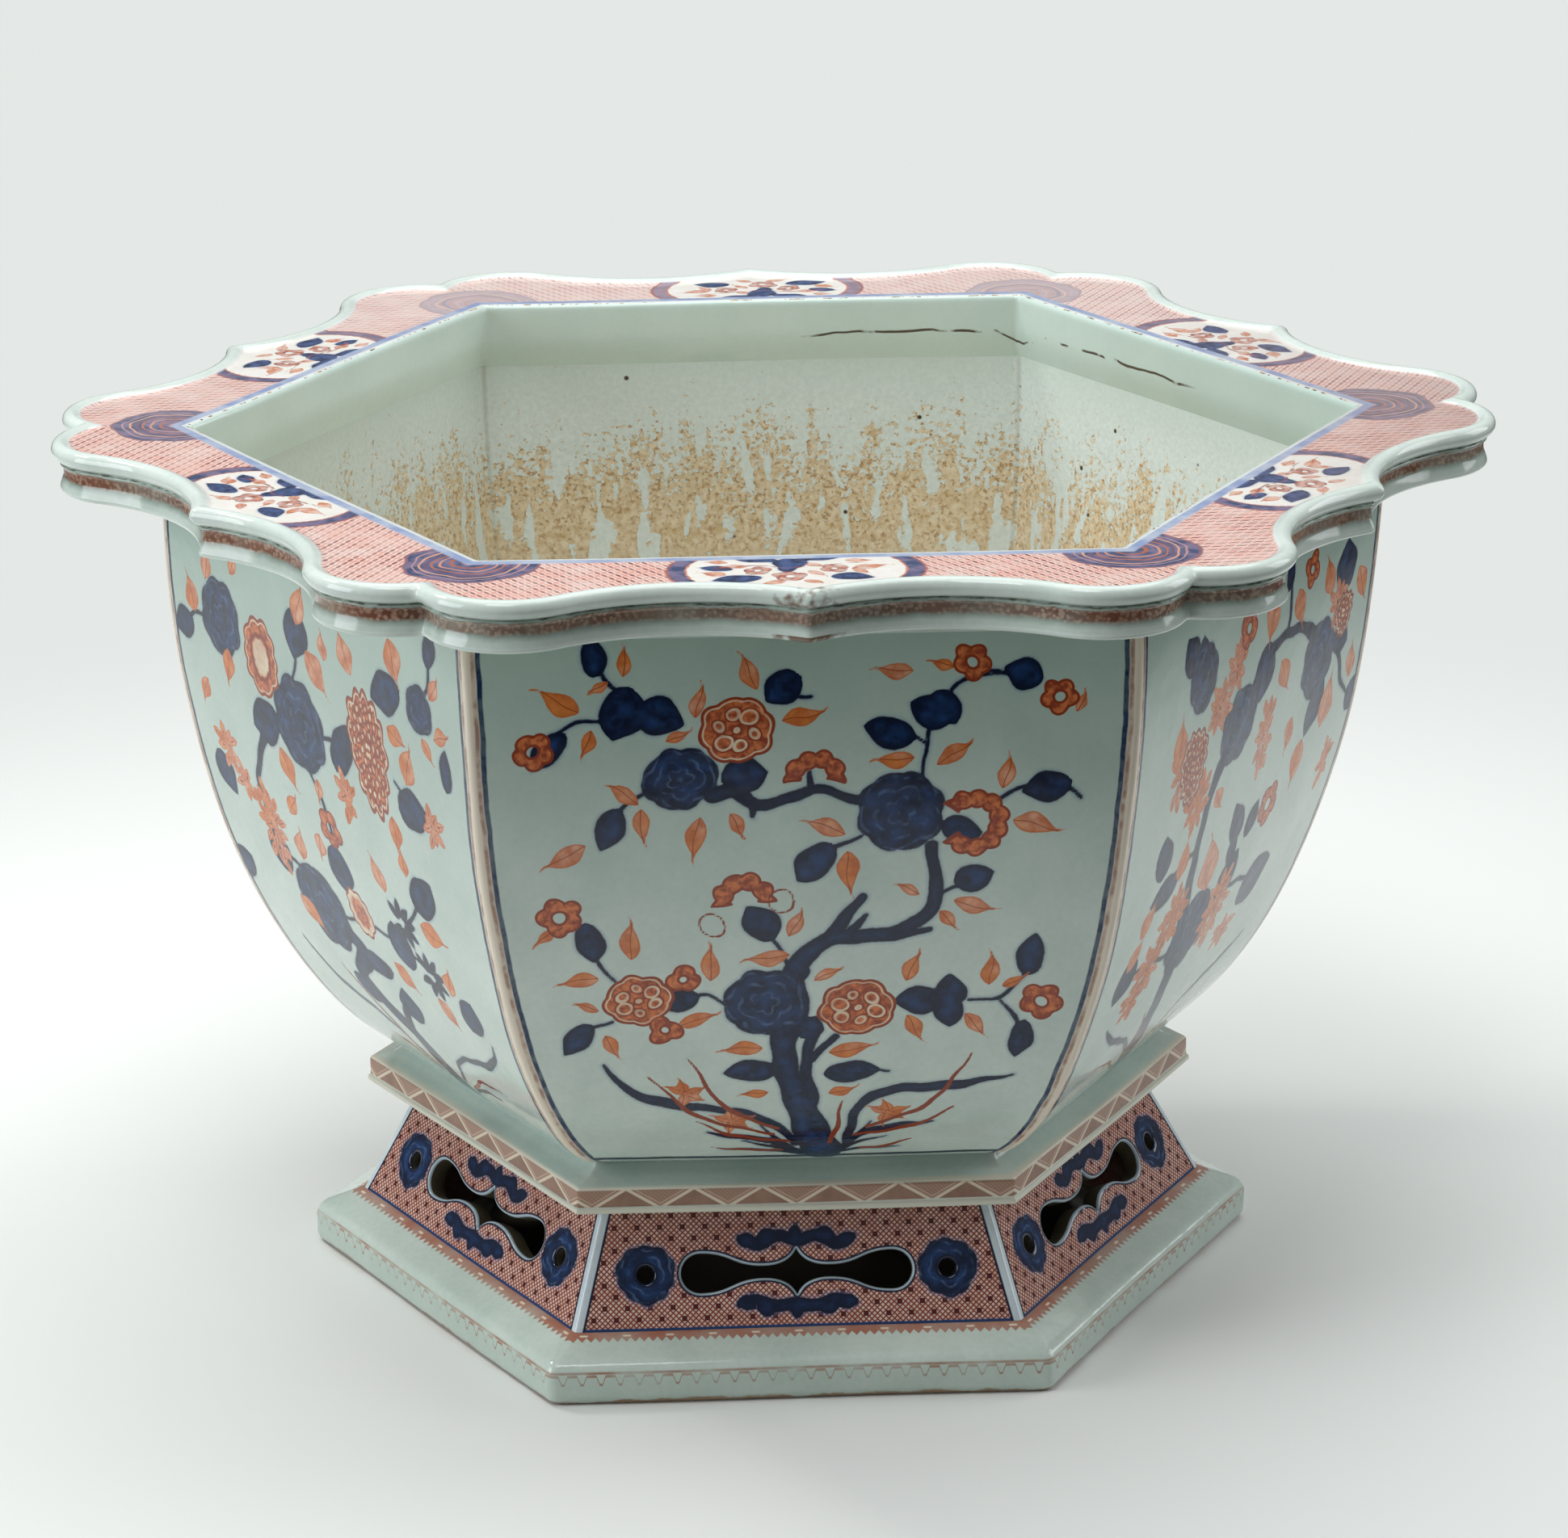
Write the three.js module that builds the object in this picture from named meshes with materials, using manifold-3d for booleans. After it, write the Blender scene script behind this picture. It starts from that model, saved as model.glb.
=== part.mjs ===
// A hexagonal porcelain jardiniere: a deep bowl with a wide lobed rim, on a pierced foot and a plinth.
// It is built as a potter builds it, from slabs that are cut, mitred at the corners and luted together
// with slip. Each slab is a mesh of its own, with a thin seam between neighbours.
// Millimetres, +Z up. The origin is on the ground under the middle of the plinth. A corner points
// along +X, and side 1 faces -Y. Widths are measured from the axis to the middle of a side.

import * as THREE from 'three';
import { mergeVertices } from 'three/addons/utils/BufferGeometryUtils.js';
import Module from 'manifold-3d';

const wasm = await Module();
wasm.setup();

// Driving dimensions

const SIDES = 6;
const SEAM = 0.3; // left between two slabs where they are luted
const FIELD_Z = 356; // the flat, painted top of the rim
const OPENING_HALF = 203.5; // inside of the collar under the rim
const WALL_THICKNESS = 8.5;

// The rim's lobed outline, over half a side: a pointed tip in the middle of the side, a hollow beside it,
// and a round lobe that meets the next side's lobe in a notch at the corner.
const TIP_OUT = 263;
const HOLLOW_AT = 45.4;
const HOLLOW_OUT = 249;
const LOBE_AT = 106.7;
const LOBE_OUT = 266.5;

const NECK_DEPTH = 28; // from the field down to the joint with the wall
const COLLAR_DEPTH = 16; // the upright part of the collar
const FLANGE_THICKNESS = 13;
const BEAD_HEIGHT = 2.2; // how far the edge's bead stands above the field
const BEAD_WIDTH = 10;
const BEAD_BOTTOM = 6; // these three are depths under the field
const CHANNEL_BOTTOM = 12;
const LIP_BOTTOM = 18.5;
const CHANNEL_SET_BACK = 4.8; // in from the bead's outermost line
const LIP_SET_BACK = 3;

// The bowl's bulging side, drawn as a superellipse from the ledge to the rim
const WALL_BASE_Z = 89.2;
const WALL_BASE_HALF = 136.2;
const WALL_INNER_BASE_HALF = 123;
const WALL_TOP_HALF = 215.2;
const WALL_CREST_Z = 340; // where the side stands upright
const BULGE_POWER_Z = 2.3;
const BULGE_POWER_OUT = 1.5;
const WALL_STEPS = 12;

const FLOOR_THICKNESS = 15;
const FLOOR_HALF = 129.7;
const FLOOR_CHAMFER = 5; // height of the cut at the floor's upper edge
const FLOOR_CLEARANCE = 0.6; // from the floor's top face to the walls, all round
const DRAIN_RADIUS = 14;

const LEDGE_HALF = 149;
const LEDGE_BOTTOM_Z = 71.8;
const LEDGE_TOP_Z = 83;
const LEDGE_BEAD = 1.1;

const FOOT_TOP_Z = 73.6;
const FOOT_BOTTOM_Z = 23.9;
const FOOT_BOTTOM_HALF = 152.9;
const FOOT_LEAN = 0.485; // how far the panel leans in for each millimetre of height
const FOOT_THICKNESS = 9.7; // measured level
const PIERCING_Z = 41.5;
const PIERCING_HALF_LENGTH = 46;
const PIERCING_END_RADIUS = 7.8;
const PIERCING_WAIST_AT = 13;
const PIERCING_WAIST = 2.4; // half heights of the waist and of the point in the middle
const PIERCING_POINT = 9;
const EYE_AT = 60;
const EYE_RADIUS = 3.4;

const PLINTH_HALF = 171.4;
const PLINTH_INNER_HALF = 132;
const PLINTH_EDGE_Z = 17.2;
const PLINTH_TOP_Z = 23.6;

// Materials

const finish = (color, roughness) => new THREE.MeshStandardMaterial({ color, roughness, metalness: 0 });
const rimGlaze = finish(0xe3b3a2, 0.25);
const bodyGlaze = finish(0xc9d8d2, 0.2);
const footGlaze = finish(0xb98a7c, 0.25);
const plinthGlaze = finish(0xc6d3cb, 0.25);
const biscuit = finish(0xc9b48b, 0.8);

// Slabs

const TAN_MITRE = Math.tan(Math.PI / SIDES);
const SEAM_ALONG = SEAM / 2 / Math.cos(Math.PI / SIDES);
const mitre = (out) => out * TAN_MITRE - SEAM_ALONG; // half a slab's length at a distance from the axis

// A solid from a row of stations, each the same closed section as points [along, out, up].
// The section runs anticlockwise in (out, up), and the stations follow one another along +X.
function loft(stations) {
  const count = stations[0].length;
  const positions = stations.flat(2);
  const index = [];
  for (let j = 0; j + 1 < stations.length; j++) {
    for (let i = 0; i < count; i++) {
      const a = j * count + i;
      const b = j * count + (i + 1) % count;
      index.push(a, b, b + count, a, b + count, a + count);
    }
  }
  const last = (stations.length - 1) * count;
  const cap = (station) => THREE.ShapeUtils.triangulateShape(
    station.map(([, out, up]) => new THREE.Vector2(out, up)), []);
  for (const [a, b, c] of cap(stations[0])) index.push(a, c, b);
  for (const [a, b, c] of cap(stations.at(-1))) index.push(last + a, last + b, last + c);
  const geometry = new THREE.BufferGeometry();
  geometry.setAttribute('position', new THREE.Float32BufferAttribute(positions, 3));
  geometry.setIndex(index);
  return geometry;
}

// A straight slab: one section [out, up] carried from mitre to mitre.
const slab = (section) => loft([-1, 1].map((end) => section.map(([out, up]) => [end * mitre(out), out, up])));

function toManifold(geometry) {
  const bare = geometry.clone();
  bare.deleteAttribute('normal');
  bare.deleteAttribute('uv');
  const merged = mergeVertices(bare, 1e-4);
  return new wasm.Manifold(new wasm.Mesh({
    numProp: 3,
    vertProperties: new Float32Array(merged.attributes.position.array),
    triVerts: new Uint32Array(merged.index.array),
  }));
}

function toGeometry(manifold) {
  const { vertProperties, triVerts } = manifold.getMesh();
  const geometry = new THREE.BufferGeometry();
  geometry.setAttribute('position', new THREE.BufferAttribute(vertProperties, 3));
  geometry.setIndex(new THREE.BufferAttribute(triVerts, 1));
  return geometry;
}

// Rim

// The outline moved in by `inset`, from corner to corner, as points [along, out].
// Both curves are arcs, and the lobe's radius is the one that meets the hollow's arc smoothly.
function rimOutline(inset, hollowSteps = 6, lobeSteps = 6) {
  const dip = TIP_OUT - HOLLOW_OUT;
  const hollowRadius = (dip ** 2 + HOLLOW_AT ** 2) / (2 * dip);
  const rise = LOBE_OUT - HOLLOW_OUT;
  const lobeRadius = ((LOBE_AT - HOLLOW_AT) ** 2 + rise ** 2) / (2 * rise) - hollowRadius;
  const hollowCentre = [HOLLOW_AT, HOLLOW_OUT + hollowRadius];
  const lobeCentre = [LOBE_AT, LOBE_OUT - lobeRadius];

  const outer = hollowRadius + inset;
  const tipAngle = Math.atan2(-Math.sqrt(outer ** 2 - HOLLOW_AT ** 2), -HOLLOW_AT);
  const joinAngle = Math.atan2(lobeCentre[1] - hollowCentre[1], lobeCentre[0] - hollowCentre[0]);

  // The lobe ends where its arc meets the mitre, along = out * TAN_MITRE - SEAM_ALONG.
  const radius = lobeRadius - inset;
  const a = TAN_MITRE ** 2 + 1;
  const b = TAN_MITRE * (SEAM_ALONG + lobeCentre[0]) + lobeCentre[1];
  const c = (SEAM_ALONG + lobeCentre[0]) ** 2 + lobeCentre[1] ** 2 - radius ** 2;
  const endOut = (b + Math.sqrt(b ** 2 - a * c)) / a;
  const endAngle = Math.atan2(endOut - lobeCentre[1], mitre(endOut) - lobeCentre[0]);

  const half = [];
  for (let i = 0; i < hollowSteps; i++) {
    const t = tipAngle + (joinAngle - tipAngle) * i / hollowSteps;
    half.push([hollowCentre[0] + outer * Math.cos(t), hollowCentre[1] + outer * Math.sin(t)]);
  }
  for (let i = 0; i <= lobeSteps; i++) {
    const t = joinAngle + Math.PI + (endAngle - joinAngle - Math.PI) * i / lobeSteps;
    half.push([lobeCentre[0] + radius * Math.cos(t), lobeCentre[1] + radius * Math.sin(t)]);
  }
  half[0][0] = 0;
  return [...half.slice(1).reverse().map(([along, out]) => [-along, out]), ...half];
}

// One side of the rim: the flange with its moulded edge, and the collar that stands on the wall.
// The moulding's points follow the outline at an inset; the collar's run straight from mitre to mitre.
function rimSection() {
  const wallInner = WALL_TOP_HALF - WALL_THICKNESS;
  const straight = (out, depth) => ({ out, up: FIELD_Z - depth });
  const moulded = (inset, depth) => ({ inset, up: FIELD_Z - depth });
  const profile = [
    straight(wallInner, NECK_DEPTH),
    straight(WALL_TOP_HALF, NECK_DEPTH),
    straight(WALL_TOP_HALF, FLANGE_THICKNESS),
    moulded(BEAD_WIDTH, FLANGE_THICKNESS),
    moulded(BEAD_WIDTH - 1, LIP_BOTTOM - 0.5),
    moulded(LIP_SET_BACK + 1.4, LIP_BOTTOM),
    moulded(LIP_SET_BACK, LIP_BOTTOM - 1.4),
    moulded(LIP_SET_BACK + 0.9, LIP_BOTTOM - 4.2),
    moulded(CHANNEL_SET_BACK, CHANNEL_BOTTOM),
    moulded(CHANNEL_SET_BACK, BEAD_BOTTOM + 0.5),
    moulded(1.6, BEAD_BOTTOM - 1),
    moulded(0, 2.2),
    moulded(1.2, -0.8),
    moulded(BEAD_WIDTH * 0.45, -BEAD_HEIGHT),
    moulded(BEAD_WIDTH * 0.78, -1),
    moulded(BEAD_WIDTH, 0),
    straight(OPENING_HALF + 1.2, 0),
    straight(OPENING_HALF, 1.2),
    straight(OPENING_HALF, COLLAR_DEPTH),
    straight(OPENING_HALF + 1, COLLAR_DEPTH + 5),
  ];
  const share = rimOutline(0);
  const end = share.at(-1)[0];
  const rows = profile.map(({ out, inset, up }) => (inset === undefined
    ? share.map(([along]) => [along / end * mitre(out), out, up])
    : rimOutline(inset).map((point) => [...point, up])));
  return loft(share.map((_, j) => rows.map((row) => row[j])));
}

// Bowl

// Half width of the bowl at a height: a superellipse from `base` at the ledge to `top` at the crest.
function bulge(z, base, top) {
  const down = (WALL_CREST_Z - z) / (WALL_CREST_Z - WALL_BASE_Z);
  return base + (top - base) * (1 - down ** BULGE_POWER_Z) ** (1 / BULGE_POWER_OUT);
}

function wallSlab() {
  const top = FIELD_Z - NECK_DEPTH - SEAM;
  const heights = Array.from({ length: WALL_STEPS + 1 }, (_, i) => (
    WALL_BASE_Z + (top - WALL_BASE_Z) * (1 - Math.cos(i / WALL_STEPS * Math.PI / 2))));
  const outside = heights.map((z) => [bulge(z, WALL_BASE_HALF, WALL_TOP_HALF), z]);
  const inside = heights.map((z) => [bulge(z, WALL_INNER_BASE_HALF, WALL_TOP_HALF - WALL_THICKNESS), z]);
  return slab([...outside, ...inside.reverse()]);
}

// A hexagonal slab turned up as a six-sided lathe form. Its upper edge is cut back under the walls, so
// that its whole top face lies free inside them, and a round drain is cut through its middle.
function floorSlab() {
  const point = (half, up) => new THREE.Vector2(half / Math.cos(Math.PI / SIDES), up);
  const profile = [
    new THREE.Vector2(0, 0),
    point(FLOOR_HALF, 0),
    point(FLOOR_HALF, FLOOR_THICKNESS - FLOOR_CHAMFER),
    point(WALL_INNER_BASE_HALF - FLOOR_CLEARANCE, FLOOR_THICKNESS),
    new THREE.Vector2(0, FLOOR_THICKNESS),
  ];
  const body = new THREE.LatheGeometry(profile, SIDES, Math.PI / 2).rotateX(Math.PI / 2);
  const drain = new THREE.CylinderGeometry(DRAIN_RADIUS, DRAIN_RADIUS, 3 * FLOOR_THICKNESS, 48);
  const solid = toManifold(body).subtract(toManifold(drain.rotateX(Math.PI / 2)));
  return toGeometry(solid).translate(0, 0, WALL_BASE_Z - SEAM - FLOOR_THICKNESS);
}

// The ledge under the bowl: an upright band with a small bead at its foot, hollowed up to the wall.
function ledgeMoulding() {
  const inner = FLOOR_HALF + SEAM;
  const top = WALL_BASE_Z - SEAM;
  return slab([
    [inner, LEDGE_BOTTOM_Z],
    [LEDGE_HALF - 1.2, LEDGE_BOTTOM_Z],
    [LEDGE_HALF + LEDGE_BEAD * 0.7, LEDGE_BOTTOM_Z + 0.5],
    [LEDGE_HALF + LEDGE_BEAD, LEDGE_BOTTOM_Z + 1.6],
    [LEDGE_HALF + LEDGE_BEAD * 0.7, LEDGE_BOTTOM_Z + 2.7],
    [LEDGE_HALF, LEDGE_BOTTOM_Z + 3.2],
    [LEDGE_HALF, LEDGE_TOP_Z - 0.8],
    [LEDGE_HALF - 0.8, LEDGE_TOP_Z],
    [LEDGE_HALF - 8, LEDGE_TOP_Z + 1.4],
    [WALL_BASE_HALF + 1.6, LEDGE_TOP_Z + 3.4],
    [WALL_BASE_HALF, top],
    [inner, top],
  ]);
}

// Foot

// The pierced opening: a point up and down in the middle, a waist on each side of it and round ends.
// One quarter is drawn and mirrored.
function piercing() {
  const end = PIERCING_HALF_LENGTH - PIERCING_END_RADIUS;
  const shoulder = (PIERCING_WAIST_AT + end) / 2;
  const quarter = new THREE.Path();
  quarter.moveTo(0, PIERCING_POINT);
  quarter.quadraticCurveTo(PIERCING_WAIST_AT / 4, PIERCING_WAIST, PIERCING_WAIST_AT, PIERCING_WAIST);
  quarter.bezierCurveTo(
    shoulder, PIERCING_WAIST, shoulder, PIERCING_END_RADIUS, end, PIERCING_END_RADIUS);
  quarter.absarc(end, 0, PIERCING_END_RADIUS, Math.PI / 2, 0, true);
  const upper = quarter.getPoints(5);
  const flip = (points, x, y) => points.map((p) => new THREE.Vector2(p.x * x, p.y * y));
  const right = [...upper, ...flip(upper.slice(0, -1).reverse(), 1, -1)];
  return new THREE.Shape([...right, ...flip(right.slice(1, -1).reverse(), -1, 1)]);
}

const footHalf = (z) => FOOT_BOTTOM_HALF - FOOT_LEAN * (z - FOOT_BOTTOM_Z);

function footPanel() {
  const panel = toManifold(slab([
    [footHalf(FOOT_BOTTOM_Z) - FOOT_THICKNESS, FOOT_BOTTOM_Z],
    [footHalf(FOOT_BOTTOM_Z), FOOT_BOTTOM_Z],
    [footHalf(FOOT_TOP_Z), FOOT_TOP_Z],
    [footHalf(FOOT_TOP_Z) - FOOT_THICKNESS, FOOT_TOP_Z],
  ]));
  const eye = (at) => new THREE.Shape().absarc(at, 0, EYE_RADIUS, 0, 2 * Math.PI, false);
  const depth = 2 * FOOT_THICKNESS;
  const lean = Math.atan(FOOT_LEAN);
  const cutters = [piercing(), eye(EYE_AT), eye(-EYE_AT)].map((shape) => {
    const cutter = new THREE.ExtrudeGeometry(shape, { depth, bevelEnabled: false, curveSegments: 6 });
    cutter.translate(0, 0, -depth / 2);
    cutter.rotateX(Math.PI / 2 + lean); // from lying flat to square with the leaning panel
    return cutter.translate(0, footHalf(PIERCING_Z) - FOOT_THICKNESS / 2, PIERCING_Z);
  });
  return toGeometry(cutters.reduce((solid, cutter) => solid.subtract(toManifold(cutter)), panel));
}

function plinthSlab() {
  return slab([
    [PLINTH_INNER_HALF, 0],
    [PLINTH_HALF - 1.5, 0],
    [PLINTH_HALF, 1.5],
    [PLINTH_HALF, PLINTH_EDGE_Z - 2.6],
    [PLINTH_HALF - 0.9, PLINTH_EDGE_Z - 0.7],
    [PLINTH_HALF - 2.8, PLINTH_EDGE_Z + 0.6],
    [FOOT_BOTTOM_HALF + 1, PLINTH_TOP_Z],
    [PLINTH_INNER_HALF + 2, PLINTH_TOP_Z],
    [PLINTH_INNER_HALF, PLINTH_TOP_Z - 2],
  ]);
}

// Assembly

const jardiniere = new THREE.Group();

function add(name, geometry, material, turn = 0) {
  const mesh = new THREE.Mesh(geometry, material);
  mesh.name = name;
  mesh.rotation.z = turn;
  jardiniere.add(mesh);
}

add('floor_slab', floorSlab(), biscuit);

const aroundTheSides = [
  ['rim_section', rimSection(), rimGlaze],
  ['wall_slab', wallSlab(), bodyGlaze],
  ['ledge_moulding', ledgeMoulding(), footGlaze],
  ['foot_panel', footPanel(), footGlaze],
  ['plinth_slab', plinthSlab(), plinthGlaze],
];
for (const [name, geometry, material] of aroundTheSides) {
  for (let side = 0; side < SIDES; side++) {
    const turn = Math.PI + side * 2 * Math.PI / SIDES; // a slab is drawn facing +Y, and side 1 faces -Y
    add(`${name}_${side + 1}`, geometry, material, turn);
  }
}

export default jardiniere;
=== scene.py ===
# %% [markdown]
# A hexagonal porcelain jardiniere, made in Blender around its measured parts.
#
# The real object is a planter of hard porcelain. It was put together from rolled slabs, painted in
# cobalt blue under the glaze and in iron red over it, and fired. This lesson makes every slab again as
# a fine surface with numpy, in the place of its plain measured part, and then paints it. A painted
# motif is stored in the mesh as a distance in millimetres, which keeps its edge sharp at any size.

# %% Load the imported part
import math

import bpy
import numpy as np
from mathutils import Matrix, Vector
from mathutils.geometry import delaunay_2d_cdt


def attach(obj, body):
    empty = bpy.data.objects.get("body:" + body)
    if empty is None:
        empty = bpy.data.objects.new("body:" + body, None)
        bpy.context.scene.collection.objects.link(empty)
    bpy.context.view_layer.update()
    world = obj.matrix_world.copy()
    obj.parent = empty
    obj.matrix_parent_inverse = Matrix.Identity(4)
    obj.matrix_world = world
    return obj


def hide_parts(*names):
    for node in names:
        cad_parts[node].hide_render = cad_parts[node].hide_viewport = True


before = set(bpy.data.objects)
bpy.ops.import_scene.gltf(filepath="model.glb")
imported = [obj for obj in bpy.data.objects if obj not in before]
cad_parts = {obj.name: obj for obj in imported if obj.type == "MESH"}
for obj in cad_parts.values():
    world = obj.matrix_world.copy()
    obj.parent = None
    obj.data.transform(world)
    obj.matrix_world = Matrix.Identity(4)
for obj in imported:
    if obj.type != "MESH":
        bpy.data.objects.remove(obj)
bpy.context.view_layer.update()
MM = 0.001
print("measured parts:", len(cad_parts))

# %% [markdown]
# The camera comes first, because every later choice is judged through it. It stands 2.1 m away with a
# long lens, looks down by 18 degrees and is turned a little to the left of the front side.

# %% Camera
CAMERA_LENS = 117.65
CAMERA_DISTANCE = 2.1159
CAMERA_TARGET = Vector((0.00277, 0, 0.20546))
CAMERA_DOWN, CAMERA_ROLL, CAMERA_TURN = (math.radians(angle) for angle in (18.295, -0.45, -2.642))

camera = bpy.data.objects.new("camera", bpy.data.cameras.new("camera"))
bpy.context.scene.collection.objects.link(camera)
bpy.context.scene.camera = camera
camera.data.lens = CAMERA_LENS
camera.matrix_world = (
    Matrix.Rotation(CAMERA_TURN, 4, "Z")
    @ Matrix.Translation(CAMERA_TARGET)
    @ Matrix.Rotation(math.pi / 2 - CAMERA_DOWN, 4, "X")
    @ Matrix.Rotation(CAMERA_ROLL, 4, "Z")
    @ Matrix.Translation((0, 0, CAMERA_DISTANCE))
)
print("camera at", [round(x, 3) for x in camera.matrix_world.translation])

# %% [markdown]
# Materials are node graphs. One function adds any node, so that a graph reads as a list of steps, and
# one function turns a colour written as on screen into the linear light that a shader works with.

# %% Colours and nodes
OBJECT_PLACE = 3
XYZ = slice(0, 3)


def linear(colour):
    """A hex colour as linear RGBA: each channel c becomes ((c + 0.055) / 1.055) ** 2.4."""
    channels = [int(colour[i:i + 2], 16) / 255 for i in (1, 3, 5)]
    return [c / 12.92 if c <= 0.04045 else ((c + 0.055) / 1.055) ** 2.4 for c in channels] + [1.0]


def add(tree, kind, sockets=(), out=0, **settings):
    """Adds a node with its settings. `sockets` gives values, hex colours or links, in order or by key;
    `out` says which output comes back."""
    made = tree.nodes.new("ShaderNode" + kind)
    for name, value in settings.items():
        setattr(made, name, value)
    pairs = sockets.items() if isinstance(sockets, dict) else enumerate(sockets)
    for key, value in pairs:
        if isinstance(value, bpy.types.NodeSocket):
            tree.links.new(value, made.inputs[key])
        elif value is not None:
            made.inputs[key].default_value = linear(value) if isinstance(value, str) else value
    return made.outputs[out] if made.outputs else None


def new_material(name):
    """An empty material and its node tree."""
    material = bpy.data.materials.new(name)
    material.use_nodes = True
    material.node_tree.nodes.clear()
    return material, material.node_tree


def coats(tree, ground, layers):
    """Lays colours over a ground, one after another: each layer is a mask from 0 to 1 and a colour."""
    for mask, colour in layers:
        ground = add(tree, "Mix", {0: mask, 6: ground, 7: colour}, out=2, data_type="RGBA")
    return ground


def both_of(tree, first, *others):
    """The overlap of two or more masks: their product."""
    for mask in others:
        first = add(tree, "Math", [first, mask], operation="MULTIPLY")
    return first


print("half grey on screen, #808080, is", round(linear("#808080")[0], 3), "in linear light")

# %% [markdown]
# The stage is a pale floor that runs past the edges of the picture. Close to the planter it is a real
# lit surface and takes its shadow. Further out the camera sees it fade into the plain backdrop colour.

# %% Floor
BACKDROP = "#e4e8e6"
FLOOR_REACH = 8.0
FADE_FROM_TO = (0.46, 1.0)
PAPER_MIDDLE = (-0.2, 0.34, 0)
PAPER_ENDS = (0.75, 1.25)
# The painted shade under the foot ends between these distances from the axis, in m.
FOOT_SHADE_EDGE = (0.132, 0.126)


def make_floor():
    """A flat square under the object, whose far part shows the camera the backdrop's own colour. To
    every other ray the white paper ends 0.75 to 1.25 m from a point behind the planter's left side, and a
    dark room begins. Inside the foot's ring the paper is painted dark, as the shade under the foot."""
    mesh = bpy.data.meshes.new("floor")
    corners = [(-1, -1, 0), (1, -1, 0), (1, 1, 0), (-1, 1, 0)]
    mesh.from_pydata([tuple(FLOOR_REACH * c for c in p) for p in corners], [], [(0, 1, 2, 3)])
    floor = bpy.data.objects.new("floor", mesh)
    bpy.context.scene.collection.objects.link(floor)
    material, tree = new_material("studio_floor_paper")
    place = add(tree, "TexCoord", out=OBJECT_PLACE)
    away = add(tree, "VectorMath", [place], out=1, operation="LENGTH")
    far = add(tree, "MapRange", [away, *FADE_FROM_TO], interpolation_type="SMOOTHSTEP")
    seen = add(tree, "LightPath")
    off = add(tree, "VectorMath", [place, PAPER_MIDDLE], out=1, operation="DISTANCE")
    end = add(tree, "MapRange", [off, *PAPER_ENDS], interpolation_type="SMOOTHSTEP")
    end = both_of(tree, end, add(tree, "Math", [1.0, seen], operation="SUBTRACT"))
    # Painted shade: inside the ring of the foot the paper is dark, standing in for the shade there.
    foot_shade = add(tree, "MapRange", [away, *FOOT_SHADE_EDGE])
    paper = add(tree, "BsdfDiffuse", [coats(tree, "#e6e8e5", [(end, "#30302e"), (foot_shade, "#45413a")])])
    glow = add(tree, "Emission", [BACKDROP, 1.0])
    add(tree, "OutputMaterial", [add(tree, "MixShader", [both_of(tree, far, seen), paper, glow])])
    mesh.materials.append(material)
    return floor


floor = make_floor()
print("floor:", floor.name, "reaches", FLOOR_REACH, "m each way")

# %% Lamps and world
ROOM_LIGHT = 0.21
LAMPS = {
    # name: place, target, size in metres, watts, colour
    "soft_box_left_back": ((-1.74, 1.0, 2.35), (0, 0, 0.2), 0.5, 18, "#fffdf8"),
    "soft_box_left": ((-2.55, -0.78, 0.98), (0, 0, 0.2), 1.5, 33, "#f7fbff"),
    "soft_box_front": ((-0.5, -1.1, 2.8), (0, 0, 0.2), 1.1, 22, "#ffffff"),
    "soft_box_above": ((0, 0.7, 2.9), (0, 0.1, 0.2), 2.6, 53, "#fbfdff"),
    "soft_box_right": ((3.0, 0.6, 1.6), (0, 0, 0.2), 2.0, 41, "#fbfdff"),
}

for name, (place, target, size, watts, colour) in LAMPS.items():
    data = bpy.data.lights.new(name, "AREA")
    data.size = size
    data.energy = watts
    data.color = linear(colour)[:3]
    lamp = bpy.data.objects.new(name, data)
    lamp.location = place
    lamp.rotation_euler = (Vector(target) - Vector(place)).to_track_quat("-Z", "Y").to_euler()
    bpy.context.scene.collection.objects.link(lamp)

world = bpy.data.worlds.new("studio")
bpy.context.scene.world = world
world.use_nodes = True
world.node_tree.nodes.clear()
seen = add(world.node_tree, "LightPath")
room = add(world.node_tree, "Background", ["#f2f5f7", ROOM_LIGHT])
backdrop = add(world.node_tree, "Background", [BACKDROP, 1.0])
add(world.node_tree, "OutputWorld", [add(world.node_tree, "MixShader", [seen, room, backdrop])])
bpy.context.scene.view_settings.view_transform = "Standard"
print("lamps:", sorted(LAMPS))

# %% [markdown]
# Each slab is one side of a hexagon. In its own frame a point has a distance s along the side, to the
# right as seen from outside, a distance n from the axis, and a height z. Two slabs meet on a mitre
# plane at 30 degrees. The potter smoothed that corner with a wet finger, so it has a small radius.

# %% The frame of one side
SIDES = 6
TAN_MITRE = math.tan(math.pi / SIDES)


def side_axes(side):
    """Unit vectors out of a side and to the right along it; side 1 faces -Y, the rest anticlockwise."""
    angle = math.radians(270 + 360 / SIDES * (side - 1))
    return (np.array([math.cos(angle), math.sin(angle), 0]),
            np.array([-math.sin(angle), math.cos(angle), 0]))


def hexagon(half, radius, share):
    """A point of a hexagon with rounded corners, as (s, n, length along the side).

    `share` runs evenly from -1 at the left mitre to 1 at the right one. The side is straight for
    (half - radius) tan 30 each way, and then turns through 30 degrees on an arc.
    """
    flat = (half - radius) * TAN_MITRE
    along = share * (flat + radius * np.pi / 6)
    turn = np.clip(np.abs(along) - flat, 0, None) / radius
    s = np.sign(along) * (np.minimum(np.abs(along), flat) + radius * np.sin(turn))
    return s, half - radius * (1 - np.cos(turn)), along


def even_shares(count, corner=0.016, corner_steps=5):
    """Shares from mitre to mitre: even steps, with short ones through the rounded corner."""
    middle = np.linspace(-1 + corner, 1 - corner, count)
    end = 1 - corner * (1 - np.linspace(0, 1, corner_steps + 1)[1:])
    return np.concatenate([-end[::-1], middle, end])


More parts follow.
